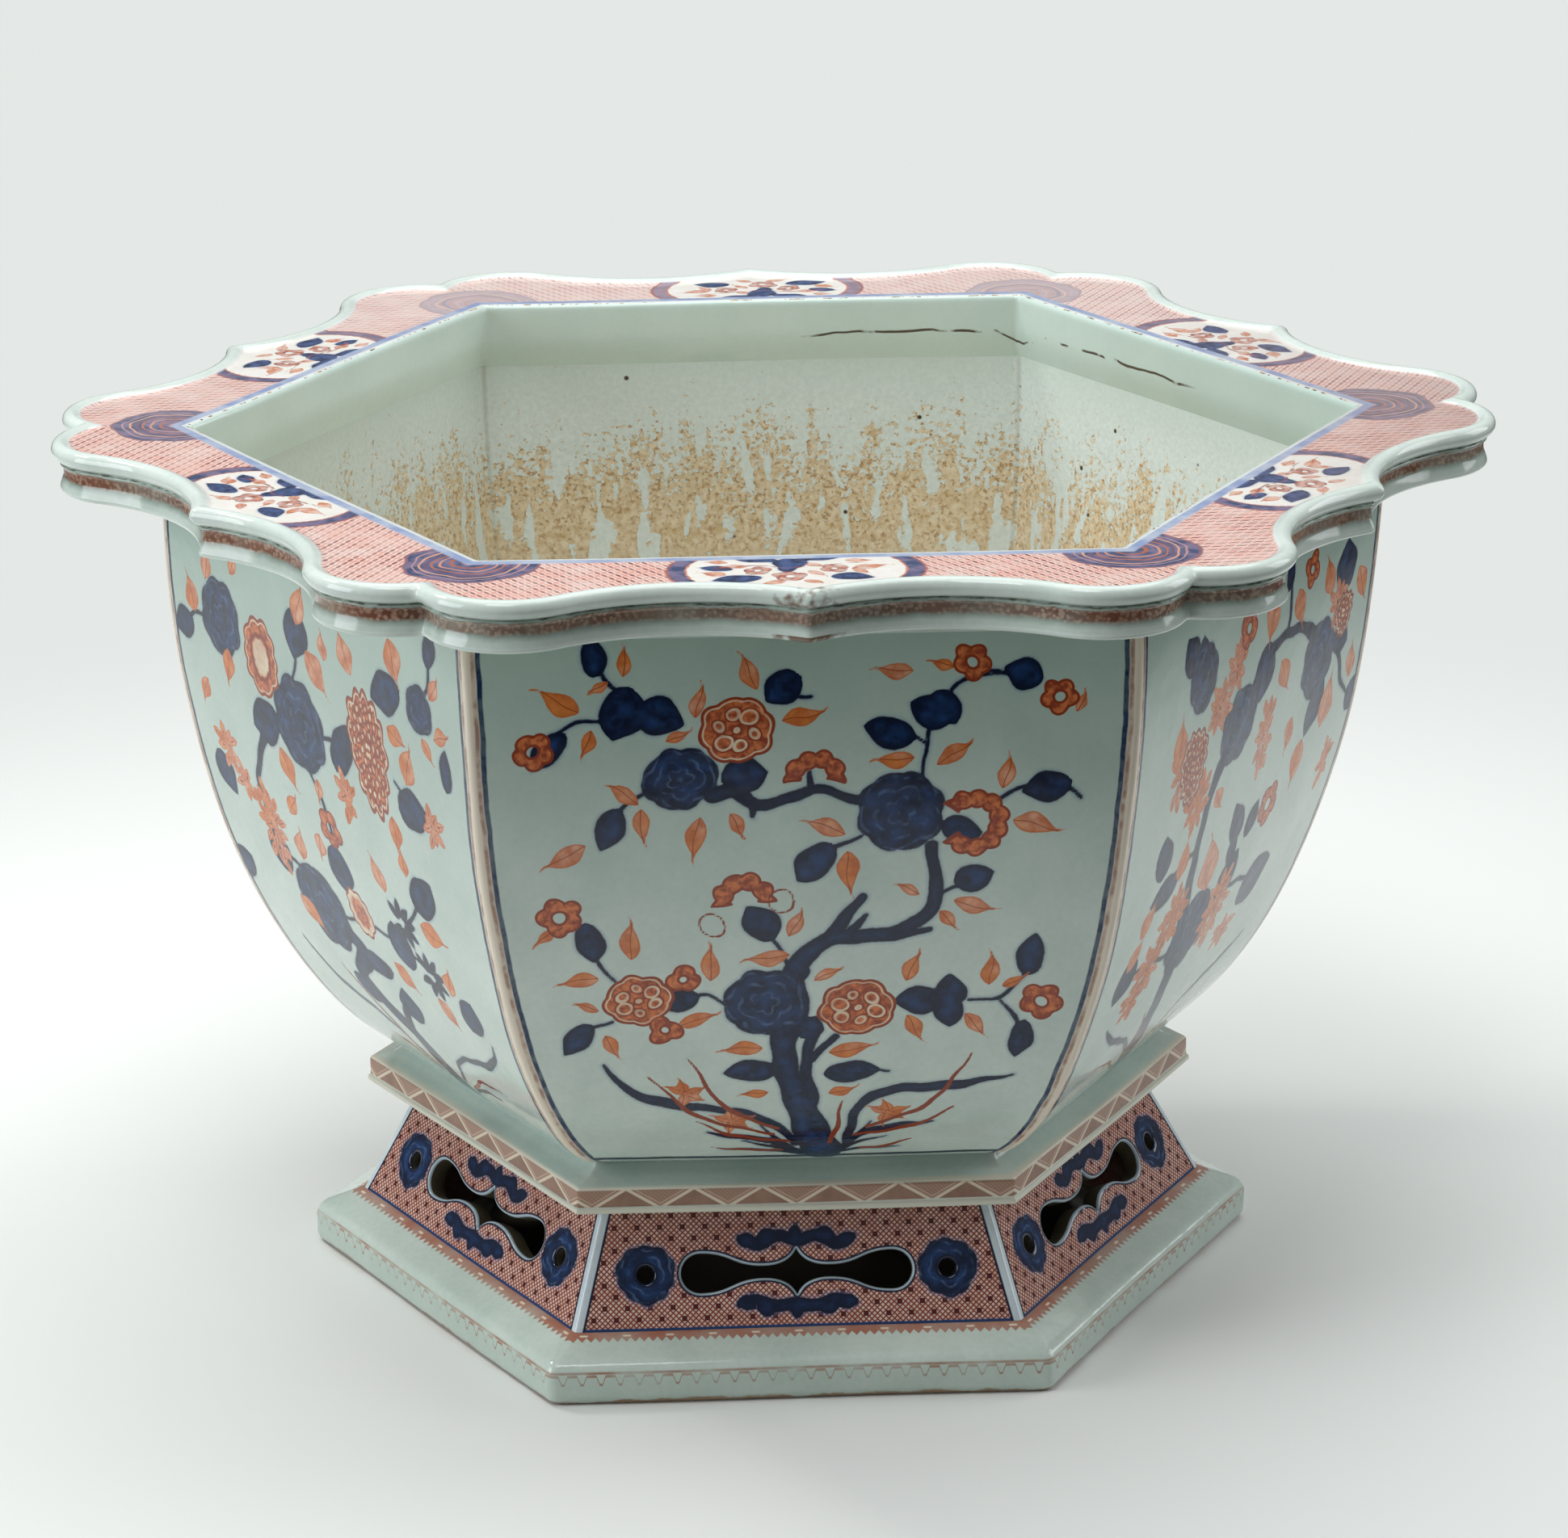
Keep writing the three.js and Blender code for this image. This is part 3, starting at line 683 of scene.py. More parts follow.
def paint_front(sheet):
    """The flowering tree of the front side."""
    scatter(sheet, stroke, [
        ([(10, 17), (10, 22), (6, 34), (1.5, 51), (-3.5, 69), (-6, 81), (-6, 96), (-2, 106), (-3.5, 119),
          (-2, 129), (4, 136), (13, 141), (24, 141), (38, 144), (46.5, 151), (50, 159), (49, 169),
          (48, 180)], [13, 16, 15, 12, 10, 10, 11, 10, 9, 8, 7, 6.5, 6, 5.5, 6, 5, 5]),
        ([(5, 56), (4, 66), (2, 78), (4, 92), (5, 100)], [5, 5, 4.5, 5, 6]),
        ([(4, 82), (9, 88), (13, 94)], [4, 3.4, 3]),
        ([(8, 138), (16, 150), (22, 158)], [6, 5, 4]),
        ([(28, 141), (37, 141), (48, 144)], [4, 3.6, 2.4]),
        ([(12, 140), (20, 146), (24, 150)], [4, 3.6, 2]),
        ([(-34, 202), (-26, 204), (-18, 198), (-6, 200), (4, 204), (14, 201), (24, 198)],
         [7, 6, 5, 4.6, 4, 4, 4.5]),
        ([(-18, 198), (-19, 193)], [4, 2]),
        ([(3, 204), (2, 211)], [3.4, 1.8])])
    for twig in ([(44, 208), (45, 221), (48, 231), (59, 246), (74, 248)], [(71, 197), (80, 203), (90, 203)],
                 [(59, 246), (64, 249), (78, 248)], [(-5, 126), (-10, 138), (-16, 148)],
                 [(-70, 121), (-76, 130), (-80, 138)], [(-47, 113), (-36, 115), (-28, 110)],
                 [(-85, 93), (-80, 100), (-72, 103)], [(63, 111), (74, 111), (84, 122), (86, 131)],
                 [(74, 111), (82, 101), (84, 90)], [(-8, 244), (-2, 241), (3, 241)],
                 [(-93, 228), (-84, 232), (-74, 233)], [(-72, 189), (-66, 199), (-58, 205)],
                 [(4, 173), (12, 180), (22, 184)], [(64, 166), (57, 162), (50, 158)],
                 [(-77, 257), (-72, 248), (-66, 242)], [(90, 203), (98, 202), (103, 198)],
                 [(20, 75), (28, 76), (34, 75)], [(31, 226), (40, 224), (45, 221)], [(36, 111), (50, 111)]):
        stroke(sheet, twig, [1.4, 1.8, 1.5])
    scatter(sheet, peony, [(36, 194, 16.5), (-46, 209, 14.5, 8, 0.86), (-14, 111, 16)])
    scatter(sheet, bud, [(-77, 258, 8, 5, 90), (-67, 235, 11, 9, 250), (-53, 234, 9, 8, 340),
                         (-95, 221, 10, 5, 232), (-8, 244, 8, 7, 215), (-72, 189, 9, 6, 250),
                         (-22, 210, 9, 7.5, 10), (31, 226, 10, 6.5, 165), (47, 234, 9, 7, 160),
                         (52, 235, 8, 6, 300), (81, 248, 7.5, 6.5, 160), (90, 203, 9, 6.5, 190),
                         (4, 173, 10, 7, 228), (64, 166, 8, 6, 15), (59, 186, 8, 6, 350),
                         (-16, 148, 9, 7, 130), (-80, 140, 9, 6, 280), (-48, 113, 9, 6, 190),
                         (-85, 94, 9, 5.5, 235), (44, 111, 9, 7, 180), (56, 115, 8, 6.5, 90),
                         (56, 105, 8, 6, 270), (86, 131, 10, 5.5, 82), (84, 90, 9.5, 5, 262),
                         (-19, 76, 11, 6, 184), (20, 75, 11, 6, 8), (3, 99, 6, 6, 60), (-2, 126, 5, 5, 90)])
    scatter(sheet, rose, [(-25, 228, 14), (21, 108, 14.5), (-62, 113, 13)])
    scatter(sheet, wreath, [(63, 189, 14, 11, 0, 35), (-22, 157, 13, 9, 95, 85), (4, 208, 12, 9, 90, 80),
                            (-45, 123, 7, 3, 30), (-52, 98, 7.5, 3, 300), (-91, 152, 9, 5, 150),
                            (91, 109, 9), (62, 253, 7.6), (94, 239, 7.4), (-100, 221, 8)])
    for x, y in ((-34, 147), (-8, 157)):
        stroke(sheet, [direction(turn, 5) + (x, y) for turn in range(0, 361, 45)], [0.9, 0.9], "iron")
    scatter(sheet, leaf, [(-90, 240, 17, 140), (-80, 224, 11, 240), (-75, 246, 8, 200), (-66, 255, 11, 75),
                          (-47, 226, 9, 20), (-39, 239, 12, 70), (-20, 250, 14, 105), (-1, 233, 15, 4),
                          (-67, 203, 13, 135), (-60, 191, 13, 265), (-88, 178, 17, 200),
                          (-40, 185, 16, 252), (-25, 190, 11, 285), (34, 250, 13, 165), (51, 252, 9, 150),
                          (34, 215, 14, 172), (55, 217, 14, 25), (75, 209, 13, 72), (86, 188, 17, 335),
                          (9, 188, 15, 150), (17, 170, 17, 265), (40, 161, 9, 140), (64, 154, 15, 335),
                          (54, 148, 10, 300), (-3, 147, 12, 60), (-13, 132, 15, 178), (-35, 129, 15, 80),
                          (-65, 140, 16, 80), (-84, 123, 14, 180), (-81, 110, 9, 150), (-72, 91, 12, 280),
                          (-40, 103, 14, 12), (41, 126, 13, 60), (43, 98, 13, 290), (71, 124, 14, 80),
                          (66, 99, 13, 290), (9, 124, 10, 20), (-22, 88, 15, 175), (19, 87, 16, 5),
                          (-17, 63, 10, 180), (16, 64, 11, 10), (102, 236, 8, 60), (-97, 143, 9, 215),
                          (80, 119, 9, 20)])
    paint_grass(sheet)


print("front tree: a function of one sheet")

# %% [markdown]
# The two neighbouring trees are read from the sides that the eye sees at a slant, so they are painted
# with the same motifs in looser order. The three sides at the back repeat these trees mirrored.

# %% The trees on the other sides
def paint_left(sheet):
    """The tree of the side to the left of the front, heavier and with more washes."""
    scatter(sheet, stroke, [
        ([(8, 20), (4, 36), (-4, 54), (-18, 66), (-26, 78), (-14, 92), (-22, 100)],
         [20, 14, 10, 9, 9, 11, 9]),
        ([(-4, 54), (0, 66), (8, 74)], [6, 5, 5]),
        ([(-46, 187), (-53, 176), (-60, 166), (-65, 154), (-63, 141), (-62, 128)], [7, 5, 4, 3.4, 3.6, 4]),
        ([(-75, 80), (-66, 68), (-54, 60), (-40, 56), (-22, 48), (-6, 32)], [1, 2.6, 3.4, 3, 2.4, 2]),
        ([(82, 81), (74, 70), (62, 63), (46, 59), (30, 52), (16, 34)], [1, 3.4, 4.4, 3, 2.6, 2]),
        ([(50, 38), (34, 36), (20, 28)], [1, 2.6, 2])])
    for twig in ([(-36, 120), (-50, 124), (-62, 126)], [(-16, 180), (-6, 160), (-7, 140)],
                 [(86, 228), (94, 240), (97, 252)], [(60, 192), (70, 186), (80, 180)],
                 [(-110, 214), (-100, 220), (-90, 222)], [(30, 113), (44, 126), (60, 140)],
                 [(34, 110), (47, 106), (58, 104)], [(-16, 215), (-12, 224), (-10, 233)],
                 [(-2, 195), (8, 195), (18, 196)], [(-20, 108), (0, 112), (20, 112)]):
        stroke(sheet, twig, [1.6, 2.2, 1.8])
    scatter(sheet, peony, [(-76, 224, 16.5), (-16, 195, 20), (-37, 107, 20), (86, 228, 10, 6)])
    scatter(sheet, bud, [(-110, 214, 9, 7, 200), (-10, 234, 11, 10, 250), (18, 194, 14, 8, 55),
                         (60, 228, 12, 9, 200), (97, 255, 8, 5, 80), (103, 208, 9, 4.5, 85),
                         (71, 183, 12, 9, 10), (-46, 188, 12, 10, 200), (-62, 126, 10, 8.5, 100),
                         (-95, 152, 10, 8, 300), (-103, 108, 9, 8, 30), (-6, 90, 14, 6, 180),
                         (-28, 69, 10, 6, 330), (10, 74, 9, 8.5, 90), (-7, 134, 11, 9.5, 270),
                         (29, 111, 11, 10, 100), (64, 144, 12, 9, 40), (73, 92, 10, 8, 60)])
    for aster in ((38, 124), (49, 103)):
        for turn in range(-150, 170, 40):
            bud(sheet, *(aster + direction(turn, 7)), 4.8, 2.2, turn)
    scatter(sheet, sun, [(-43, 216, 14), (-1, 116, 9.5, 0.72)])
    mum(sheet, 41, 199, 15.5, squash=1.75)
    wreath(sheet, -6, 153, 9)
    scatter(sheet, tuft, [(-88, 166, 8, 10, 11), (-62, 138, 10, 20, 24), (-78, 152, 6, 8, 7),
                          (15, 173, 6, 12, 10), (86, 180, 7, 8, 9)])
    scatter(sheet, leaf, [(-86, 244, 13.2, 70), (-101, 228, 15.6, 100), (-73, 205, 14.4, 250),
                          (-6, 246, 16.8, 60), (4, 222, 19.2, 300), (30, 236, 16.8, 110),
                          (68, 243, 18, 280), (98, 239, 10.8, 40), (101, 221, 10.8, 10),
                          (90, 213, 9.6, 300), (65, 212, 13.2, 330), (72, 201, 16.8, 60),
                          (52, 168, 14.4, 260), (-9, 169, 9.6, 250), (-33, 172, 16.8, 290),
                          (-37, 154, 12, 40), (-40, 135, 14.4, 60), (-20, 141, 12, 240),
                          (28, 143, 14.4, 100), (63, 127, 16.8, 340), (53, 155, 10.8, 80),
                          (-52, 100, 16.8, 300), (50, 86, 14.4, 290), (64, 105, 13.2, 60),
                          (20, 93, 15.6, 310), (-62, 250, 10.8, 60), (-98, 188, 12, 230),
                          (12, 234, 10.8, 80)], width=0.7)
    for line in ([(-46, 76), (-28, 58), (-8, 34)], [(58, 46), (40, 44), (20, 30)],
                 [(-40, 40), (-22, 38), (-4, 26)]):
        stroke(sheet, line, [0.8, 2.2, 1.6], "iron")


def paint_right(sheet):
    """The tree of the side to the right of the front: it leans left and arches over to the right."""
    scatter(sheet, stroke, [
        ([(-6, 22), (-10, 40), (-18, 62), (-24, 84), (-30, 104), (-38, 130), (-41, 154), (-37, 176),
          (-24, 190)], [22, 15, 11, 10, 10, 8, 6, 7, 9]),
        ([(-4, 206), (4, 216), (24, 221), (45, 219), (56, 213)], [9, 6, 4.6, 5, 7]),
        ([(76, 205), (90, 196), (97, 182), (108, 173)], [5, 4, 2.4, 2]),
        ([(54, 206), (58, 196), (66, 186)], [5, 7, 6]),
        ([(-22, 96), (-6, 104), (8, 116)], [8, 6, 4]),
        ([(-76, 80), (-66, 71), (-52, 64), (-38, 58), (-22, 46), (-12, 30)], [1, 3.4, 3.8, 3, 2.6, 2]),
        ([(70, 72), (56, 66), (40, 60), (22, 52), (6, 34)], [1, 3, 4, 3, 2])])
    for twig in ([(26, 221), (29, 232), (27, 246)], [(-41, 150), (-56, 148), (-70, 142)],
                 [(80, 215), (86, 226)], [(-30, 100), (-54, 104), (-76, 106)],
                 [(8, 116), (26, 114), (44, 110)], [(6, 120), (6, 134), (3, 146)]):
        stroke(sheet, twig, [2.4, 2.6, 1.8])
    scatter(sheet, peony, [(-18, 196, 18, 8, 0.85), (66, 200, 17), (-21, 106, 19), (-60, 227, 14)])
    scatter(sheet, bud, [(-74, 240, 9, 8, 120), (-62, 238, 7, 6, 90), (5, 211, 12, 10, 250),
                         (88, 234, 11, 11, 90), (70, 178, 13, 8, 240), (114, 171, 8, 8, 300),
                         (27, 246, 8, 4, 70), (46, 108, 15, 11, 20), (7, 122, 12, 9, 60),
                         (-77, 158, 10, 8, 100), (-68, 140, 13, 7, 190), (-81, 105, 11, 9, 250),
                         (2, 148, 11, 7, 120), (20, 144, 8, 6, 60), (4, 134, 7, 5, 270),
                         (90, 202, 9, 7, 340)])
    scatter(sheet, mum, [(-62, 192, 13, 1.25), (90, 213, 10)])
    scatter(sheet, wreath, [(-15, 235, 9, 4), (36, 145, 10, 5), (50, 242, 8, 4)])
    scatter(sheet, tuft, [(-25, 222, 9, 10, 13), (-40, 209, 10, 10, 15), (-52, 174, 11, 13, 18),
                          (14, 182, 8, 18, 19), (96, 146, 6, 11, 9), (-48, 122, 12, 14, 22),
                          (4, 108, 12, 18, 26), (-58, 102, 11, 14, 19), (-62, 88, 10, 9, 12),
                          (82, 220, 8, 10, 11), (30, 88, 10, 8, 11), (-76, 192, 7, 15, 12)])
    scatter(sheet, leaf, [(-78, 205, 19.2, 80), (10, 233, 20.4, 250), (-54, 149, 16.8, 80),
                          (84, 176, 21.6, 70), (39, 229, 16.8, 280), (70, 233, 16.8, 100),
                          (28, 204, 16.8, 300), (44, 174, 14.4, 250), (60, 157, 19.2, 250),
                          (106, 188, 14.4, 80), (-28, 168, 12, 300), (-78, 131, 15.6, 60),
                          (-80, 116, 14.4, 60), (108, 222, 16.8, 290), (-20, 136, 26.4, 100)], width=0.7)
    for line in ([(-60, 52), (-38, 46), (-16, 30)], [(44, 44), (28, 42), (8, 28)],
                 [(-30, 70), (-18, 54), (-8, 34)]):
        stroke(sheet, line, [0.8, 2.2, 1.6], "iron")


TREES = {1: (paint_front, 1), 2: (paint_right, 1), 3: (paint_left, -1), 4: (paint_front, -1),
         5: (paint_right, -1), 6: (paint_left, 1)}
print("trees for sides:", sorted(TREES))

# %% [markdown]
# The sides carry the trees, framed at each corner by a cream pole with brown edges and a blue line.

# %% The painted wall
def painted_wall():
    """Glaze over cobalt, iron red on top, and the frame of lines at the corners and the base. The glaze
    is painted greener and darker under the rim as painted shade, and pools at the base."""
    material, tree = new_material("painted_porcelain")
    _, up, corner = parts_of(tree, "place")
    wander = clouds(tree, 60.0, 3.0)
    edge = wandering(tree, corner, wander, 0.35)
    base_line = band(tree, wandering(tree, up, wander, 0.35), 14.6, 1.6, 0.4)
    worn = brush_noise(tree, 7.0, 0.4, 0.6)
    ground = coats(tree, bare_glaze(tree), [
        # Painted shade: darker and greener towards the rim, where the rim shades the wall.
        (add(tree, "MapRange", [up, 120.0, 262.0, 0.0, 0.65]), "#9ab4a7"),
        (add(tree, "MapRange", [up, 13.0, 6.0, 0.0, 0.55]), "#7f9c94"),
        (both_of(tree, base_line, add(tree, "MapRange", [corner, 3.5, 4.5])), COBALT_DEEP)])
    colour = coats(tree, iron_painting(tree, cobalt_painting(tree, ground)), [
        (add(tree, "MapRange", [edge, 4.4, 3.6]), "#e4d9c6"),
        (both_of(tree, band(tree, edge, 2.9, 0.8, 0.5), add(tree, "MapRange", [worn, 0.0, 1.0, 0.35, 0.9])),
         "#9a7464"),
        (both_of(tree, band(tree, edge, 4.9, 0.95, 0.3),
                 add(tree, "MapRange", [worn, 1.0, 0.0, 0.85, 1.0])),
         "#182f52")])
    return glazed(material, tree, colour)


PAINTED_WALL = painted_wall()

# %% [markdown]
# Inside, only the upper part was glazed. The glaze ran down over bare clay, which fired to a warm buff,
# is rough to the touch and has dark pinholes.

# %% The inside of the bowl
def inside_wall():
    """Glaze above about 285 mm and bare clay below, with a crumbly edge between them. Below the edge
    runs of glaze about 6 mm wide stand in the clay, which is dusty and paler deep inside."""
    material, tree = new_material("inside_glaze_and_biscuit")
    place = add(tree, "TexCoord", out=OBJECT_PLACE)
    across, _, z = add(tree, "SeparateXYZ", [place], out=XYZ)
    tall = add(tree, "Mapping", {0: place, 3: (1.0, 1.0, 0.24)})
    drips = add(tree, "TexNoise", {"Vector": tall, "Scale": 105.0, "Distortion": 0.3})
    longer = add(tree, "Mapping", {0: place, 1: (0.3, 0.1, 0.2), 3: (1.0, 1.0, 0.3)})
    runs = add(tree, "TexNoise", {"Vector": longer, "Scale": 125.0, "Detail": 1.5})
    crumbs = add(tree, "TexNoise", {"Vector": place, "Scale": 400.0, "Detail": 3.0, "Roughness": 0.6})
    broad = clouds(tree, 16.0)
    level = add(tree, "MapRange", [z, 0.25, 0.318, -0.34, 0.34])
    for noise, reach in ((drips, 0.13), (crumbs, 0.3), (broad, 0.08)):
        level = wandering(tree, level, noise, reach)
    runs = add(tree, "Math", [crumbs, 0.3, runs], operation="MULTIPLY_ADD")
    runs = both_of(tree, add(tree, "MapRange", [runs, 0.735, 0.755]),
                   add(tree, "MapRange", [z, 0.175, 0.2]))
    glaze = add(tree, "Math", [add(tree, "MapRange", [level, -0.02, 0.02]), runs], operation="MAXIMUM")
    flakes = both_of(tree, brush_noise(tree, 1.8, 0.52, 0.62, 0.0, 0.75),
                     add(tree, "MapRange", [level, -0.5, -0.12, 0.4, 1.0]))
    clay = coats(tree, brushed(tree, 3.0, 0.35, 0.65, "#d3bb92", "#e8dabd"), [
        (flakes, "#a4773d"), (add(tree, "MapRange", [z, 0.25, 0.18]), "#cfcabb")])
    cell = add(tree, "TexVoronoi", {"Vector": place, "Scale": 60.0})
    pinhole = both_of(tree, add(tree, "MapRange", [cell, 0.075, 0.05]),
                      add(tree, "MapRange", [broad, 0.46, 0.5]))
    seam = add(tree, "MapRange", [parts_of(tree, "place")[2], 1.8, 0.3, 0.0, 0.32])
    colour = coats(tree, clay, [
        (glaze, brushed(tree, 2.0, 0.35, 0.65, "#d9e4df", "#e4eeea")),
        (add(tree, "MapRange", [z, 0.305, 0.33, 0.0, 0.6]), "#c9dad0"),
        # Painted shade: the inside of the left-hand walls is darkened.
        (add(tree, "MapRange", [across, -0.1, -0.2, 0.0, 0.35]), "#a3ab98"),
        (pinhole, "#4a3a2c"), (seam, "#8a8a76")])
    rough = add(tree, "Mix", [glaze, None, 0.85, 0.22], data_type="FLOAT")
    grain = add(tree, "Math", [glaze, crumbs], operation="ADD")
    return glazed(material, tree, colour, rough, 0.5, grain)


INSIDE_WALL = inside_wall()

# %% [markdown]
# The rim's field is a fine red net with a dark dash in each mesh. Over it lie half a dozen round blue
# medallions at the corners and white cartouches in the middle of the sides. All of these come from
# stored distances too: `medal` is the distance from a medallion's centre, and `reserve` grows outward
# from a cartouche's edge.

# %% The rim's painted field
MEDALLION_RINGS = [
    # middle of the ring, half its width, its soft edge, colour
    (21.2, 0.35, 0.18, "#b98f93"), (18.2, 0.5, 0.18, "#d9a184"), (15.6, 0.8, 0.5, "#6a5571"),
    (13.2, 0.45, 0.18, "#b96c4f"), (10.2, 0.45, 0.18, "#d3937a"), (6.4, 0.6, 0.18, "#b0644c"),
]


def net_cell(tree, scale=1.0):
    """The place inside one mesh of the stored net, from -0.5 to 0.5 each way."""
    net = add(tree, "Attribute", out=1, attribute_name="net")
    net = add(tree, "VectorMath", [net, (scale, scale, 1.0)], operation="MULTIPLY")
    cell = add(tree, "VectorMath", [net], operation="FRACTION")
    return add(tree, "VectorMath", [cell, (0.5, 0.5, 0.5)], operation="SUBTRACT")


def joined(tree, cell, operation):
    """The distances along and across a mesh joined: the greater makes squares, the sum makes diamonds."""
    across, along, _ = add(tree, "SeparateXYZ", [add(tree, "VectorMath", [cell], operation="ABSOLUTE")],
                           out=XYZ)
    return add(tree, "Math", [across, along], operation=operation)


def rim_field():
    """Net, medallions, cartouches, and the white and blue lines round the opening. The painting is paler
    behind, and the edge of the opening is chipped to brown there."""
    material, tree = new_material("painted_rim_field")
    _, n, nominal = parts_of(tree, "place")
    aside, behind, _ = add(tree, "SeparateXYZ", [add(tree, "TexCoord", out=OBJECT_PLACE)], out=XYZ)
    cell = net_cell(tree)
    slim = add(tree, "VectorMath", [cell, (1.0, 2.3, 0.0)], operation="MULTIPLY")
    dash = add(tree, "MapRange", [add(tree, "VectorMath", [slim], out=1, operation="LENGTH"), 0.48, 0.3])
    mesh = add(tree, "MapRange", [joined(tree, cell, "MAXIMUM"), 0.38, 0.46])
    strong = brush_noise(tree, 16.0, 0.38, 0.62, 0.5, 1.0)
    medal = wandering(tree, field_of(tree, "medal"), clouds(tree, 70.0, 1.0), 1.2)
    slate = coats(tree, brushed(tree, 7.0, 0.4, 0.6, "#37496d", "#7a6f8e"), [
        (add(tree, "MapRange", [behind, 0.05, 0.2, 0.0, 0.5]), "#c0a3a8")])
    field = coats(tree, brushed(tree, 9.0, 0.35, 0.65, "#efc9bc", "#eedbd2"), [
        (both_of(tree, mesh, strong), "#d99080"), (both_of(tree, dash, strong), "#8a4a45"),
        (inside(tree, medal, 25.4, 0.5), "#8d6470"), (inside(tree, medal, 24.2, 0.5), slate),
        *((band(tree, medal, *ring), colour) for *ring, colour in MEDALLION_RINGS),
        (inside(tree, medal, 2.6, 0.6), "#c98a74"),
        (add(tree, "MapRange", [behind, -0.05, 0.2, 0.0, 0.4]), "#e9dfda")])
    reserve = rough_edge(tree, field_of(tree, "reserve"), 0.3)
    field = coats(tree, field, [
        (inside(tree, reserve, 9.0, 0.5), "#a8645a"), (inside(tree, reserve, 8.0, 0.5), slate),
        (inside(tree, reserve, 2.0, 0.4), "#cf8467"),
        (inside(tree, reserve, 1.2, 0.4), brushed(tree, 12.0, 0.3, 0.7, "#f3f4ef", "#e9ebe0"))])
    faint = both_of(tree, brush_noise(tree, 4.0, 0.38, 0.62, 0.08, 0.55), inside(tree, reserve, 1.0, 0.4))
    in_blue = inside(tree, field_of(tree, "cobalt"), 0.2, 0.4)
    where = add(tree, "MapRange", [behind, -0.05, 0.1, 0.0, 0.2])
    where = add(tree, "Math", [clouds(tree, 14.0), where], operation="ADD")
    chip = both_of(tree, add(tree, "MapRange", [clouds(tree, 300.0), 0.54, 0.6]),
                   add(tree, "MapRange", [where, 0.52, 0.6]), add(tree, "MapRange", [n, 206.2, 205.4]))
    glaze = bare_glaze(tree, "#e4e9e6", "#d8dfda")
    colour = coats(tree, iron_painting(tree, cobalt_painting(tree, field)), [
        (faint, coats(tree, "#efe2da", [(in_blue, "#5a70a8")])),
        (inside(tree, n, 211.0, 0.7), brushed(tree, 12.0, 0.35, 0.6, "#b4bfd2", "#8f9fc4")),
        (inside(tree, n, 206.9, 0.5), glaze),
        # Painted shade: the field is darkened towards the far right of the rim.
        (add(tree, "MapRange", [aside, 0.17, 0.28, 0.0, 0.5]), "#a5918b"),
        (add(tree, "MapRange", [nominal, 248.0, 249.0]), glaze),
        (chip, brushed(tree, 3.0, 0.4, 0.6, "#5b4128", "#c08a50"))])
    return glazed(material, tree, colour)


RIM_FIELD = rim_field()

# %% [markdown]
# The bead, the lip and the collar are bare glaze, worn brown where the rim has been knocked. In the
# channel under the bead runs a small brown scroll, rubbed away in places.

# %% The rim's mouldings
KNOCK_PLACE = (0.001, -0.257, 0.3445)


def rim_glaze():
    """Bare glaze with a knocked brown patch at the middle of the front, and a firing crack inside, which
    runs along the collar about 340 mm up and jumps once."""
    material, tree = new_material("rim_bare_glaze")
    place = add(tree, "TexCoord", out=OBJECT_PLACE)
    across, depth, height = add(tree, "SeparateXYZ", [place], out=XYZ)
    away = add(tree, "VectorMath", [place, KNOCK_PLACE], out=1, operation="DISTANCE")
    knock = add(tree, "MapRange", [wandering(tree, away, clouds(tree, 240.0), 0.005), 0.014, 0.008, 0.0,
                                   0.9])
    collar = inside(tree, parts_of(tree, "place")[2], 207.0, 0.3)
    tint = both_of(tree, add(tree, "MapRange", [clouds(tree, 26.0, 4.0), 0.6, 0.74, 0.0, 0.2]),
                   add(tree, "Math", [1.0, collar], operation="SUBTRACT"))
    line = add(tree, "MapRange", [clouds(tree, 45.0), 0.3, 0.7, 0.3418, 0.3392])
    kink = both_of(tree, add(tree, "MapRange", [across, 0.108, 0.117]),
                   add(tree, "MapRange", [across, 0.128, 0.12]))
    line = add(tree, "Math", [kink, -0.006, line], operation="MULTIPLY_ADD")
    off = add(tree, "Math", [add(tree, "Math", [height, line], operation="SUBTRACT")], operation="ABSOLUTE")
    crack = both_of(tree, add(tree, "MapRange", [off, 0.0007, 0.0004]), collar,
                    brush_noise(tree, 14.0, 0.44, 0.5), add(tree, "MapRange", [across, 0.02, 0.03]),
                    add(tree, "MapRange", [depth, 0.09, 0.1]))
    colour = coats(tree, bare_glaze(tree, "#dbe6df", "#cddad2"), [
        (add(tree, "Math", [collar, 0.55], operation="MULTIPLY"), "#cfe6dc"),
        # Painted shade: the collar is darkened on the right-hand side inside.
        (both_of(tree, collar, add(tree, "MapRange", [across, 0.09, 0.2, 0.0, 0.35])), "#9db3aa"),
        (tint, "#b9a58c"), (knock, "#6f5036"), (crack, "#54483a")])
    return glazed(material, tree, colour, 0.07)


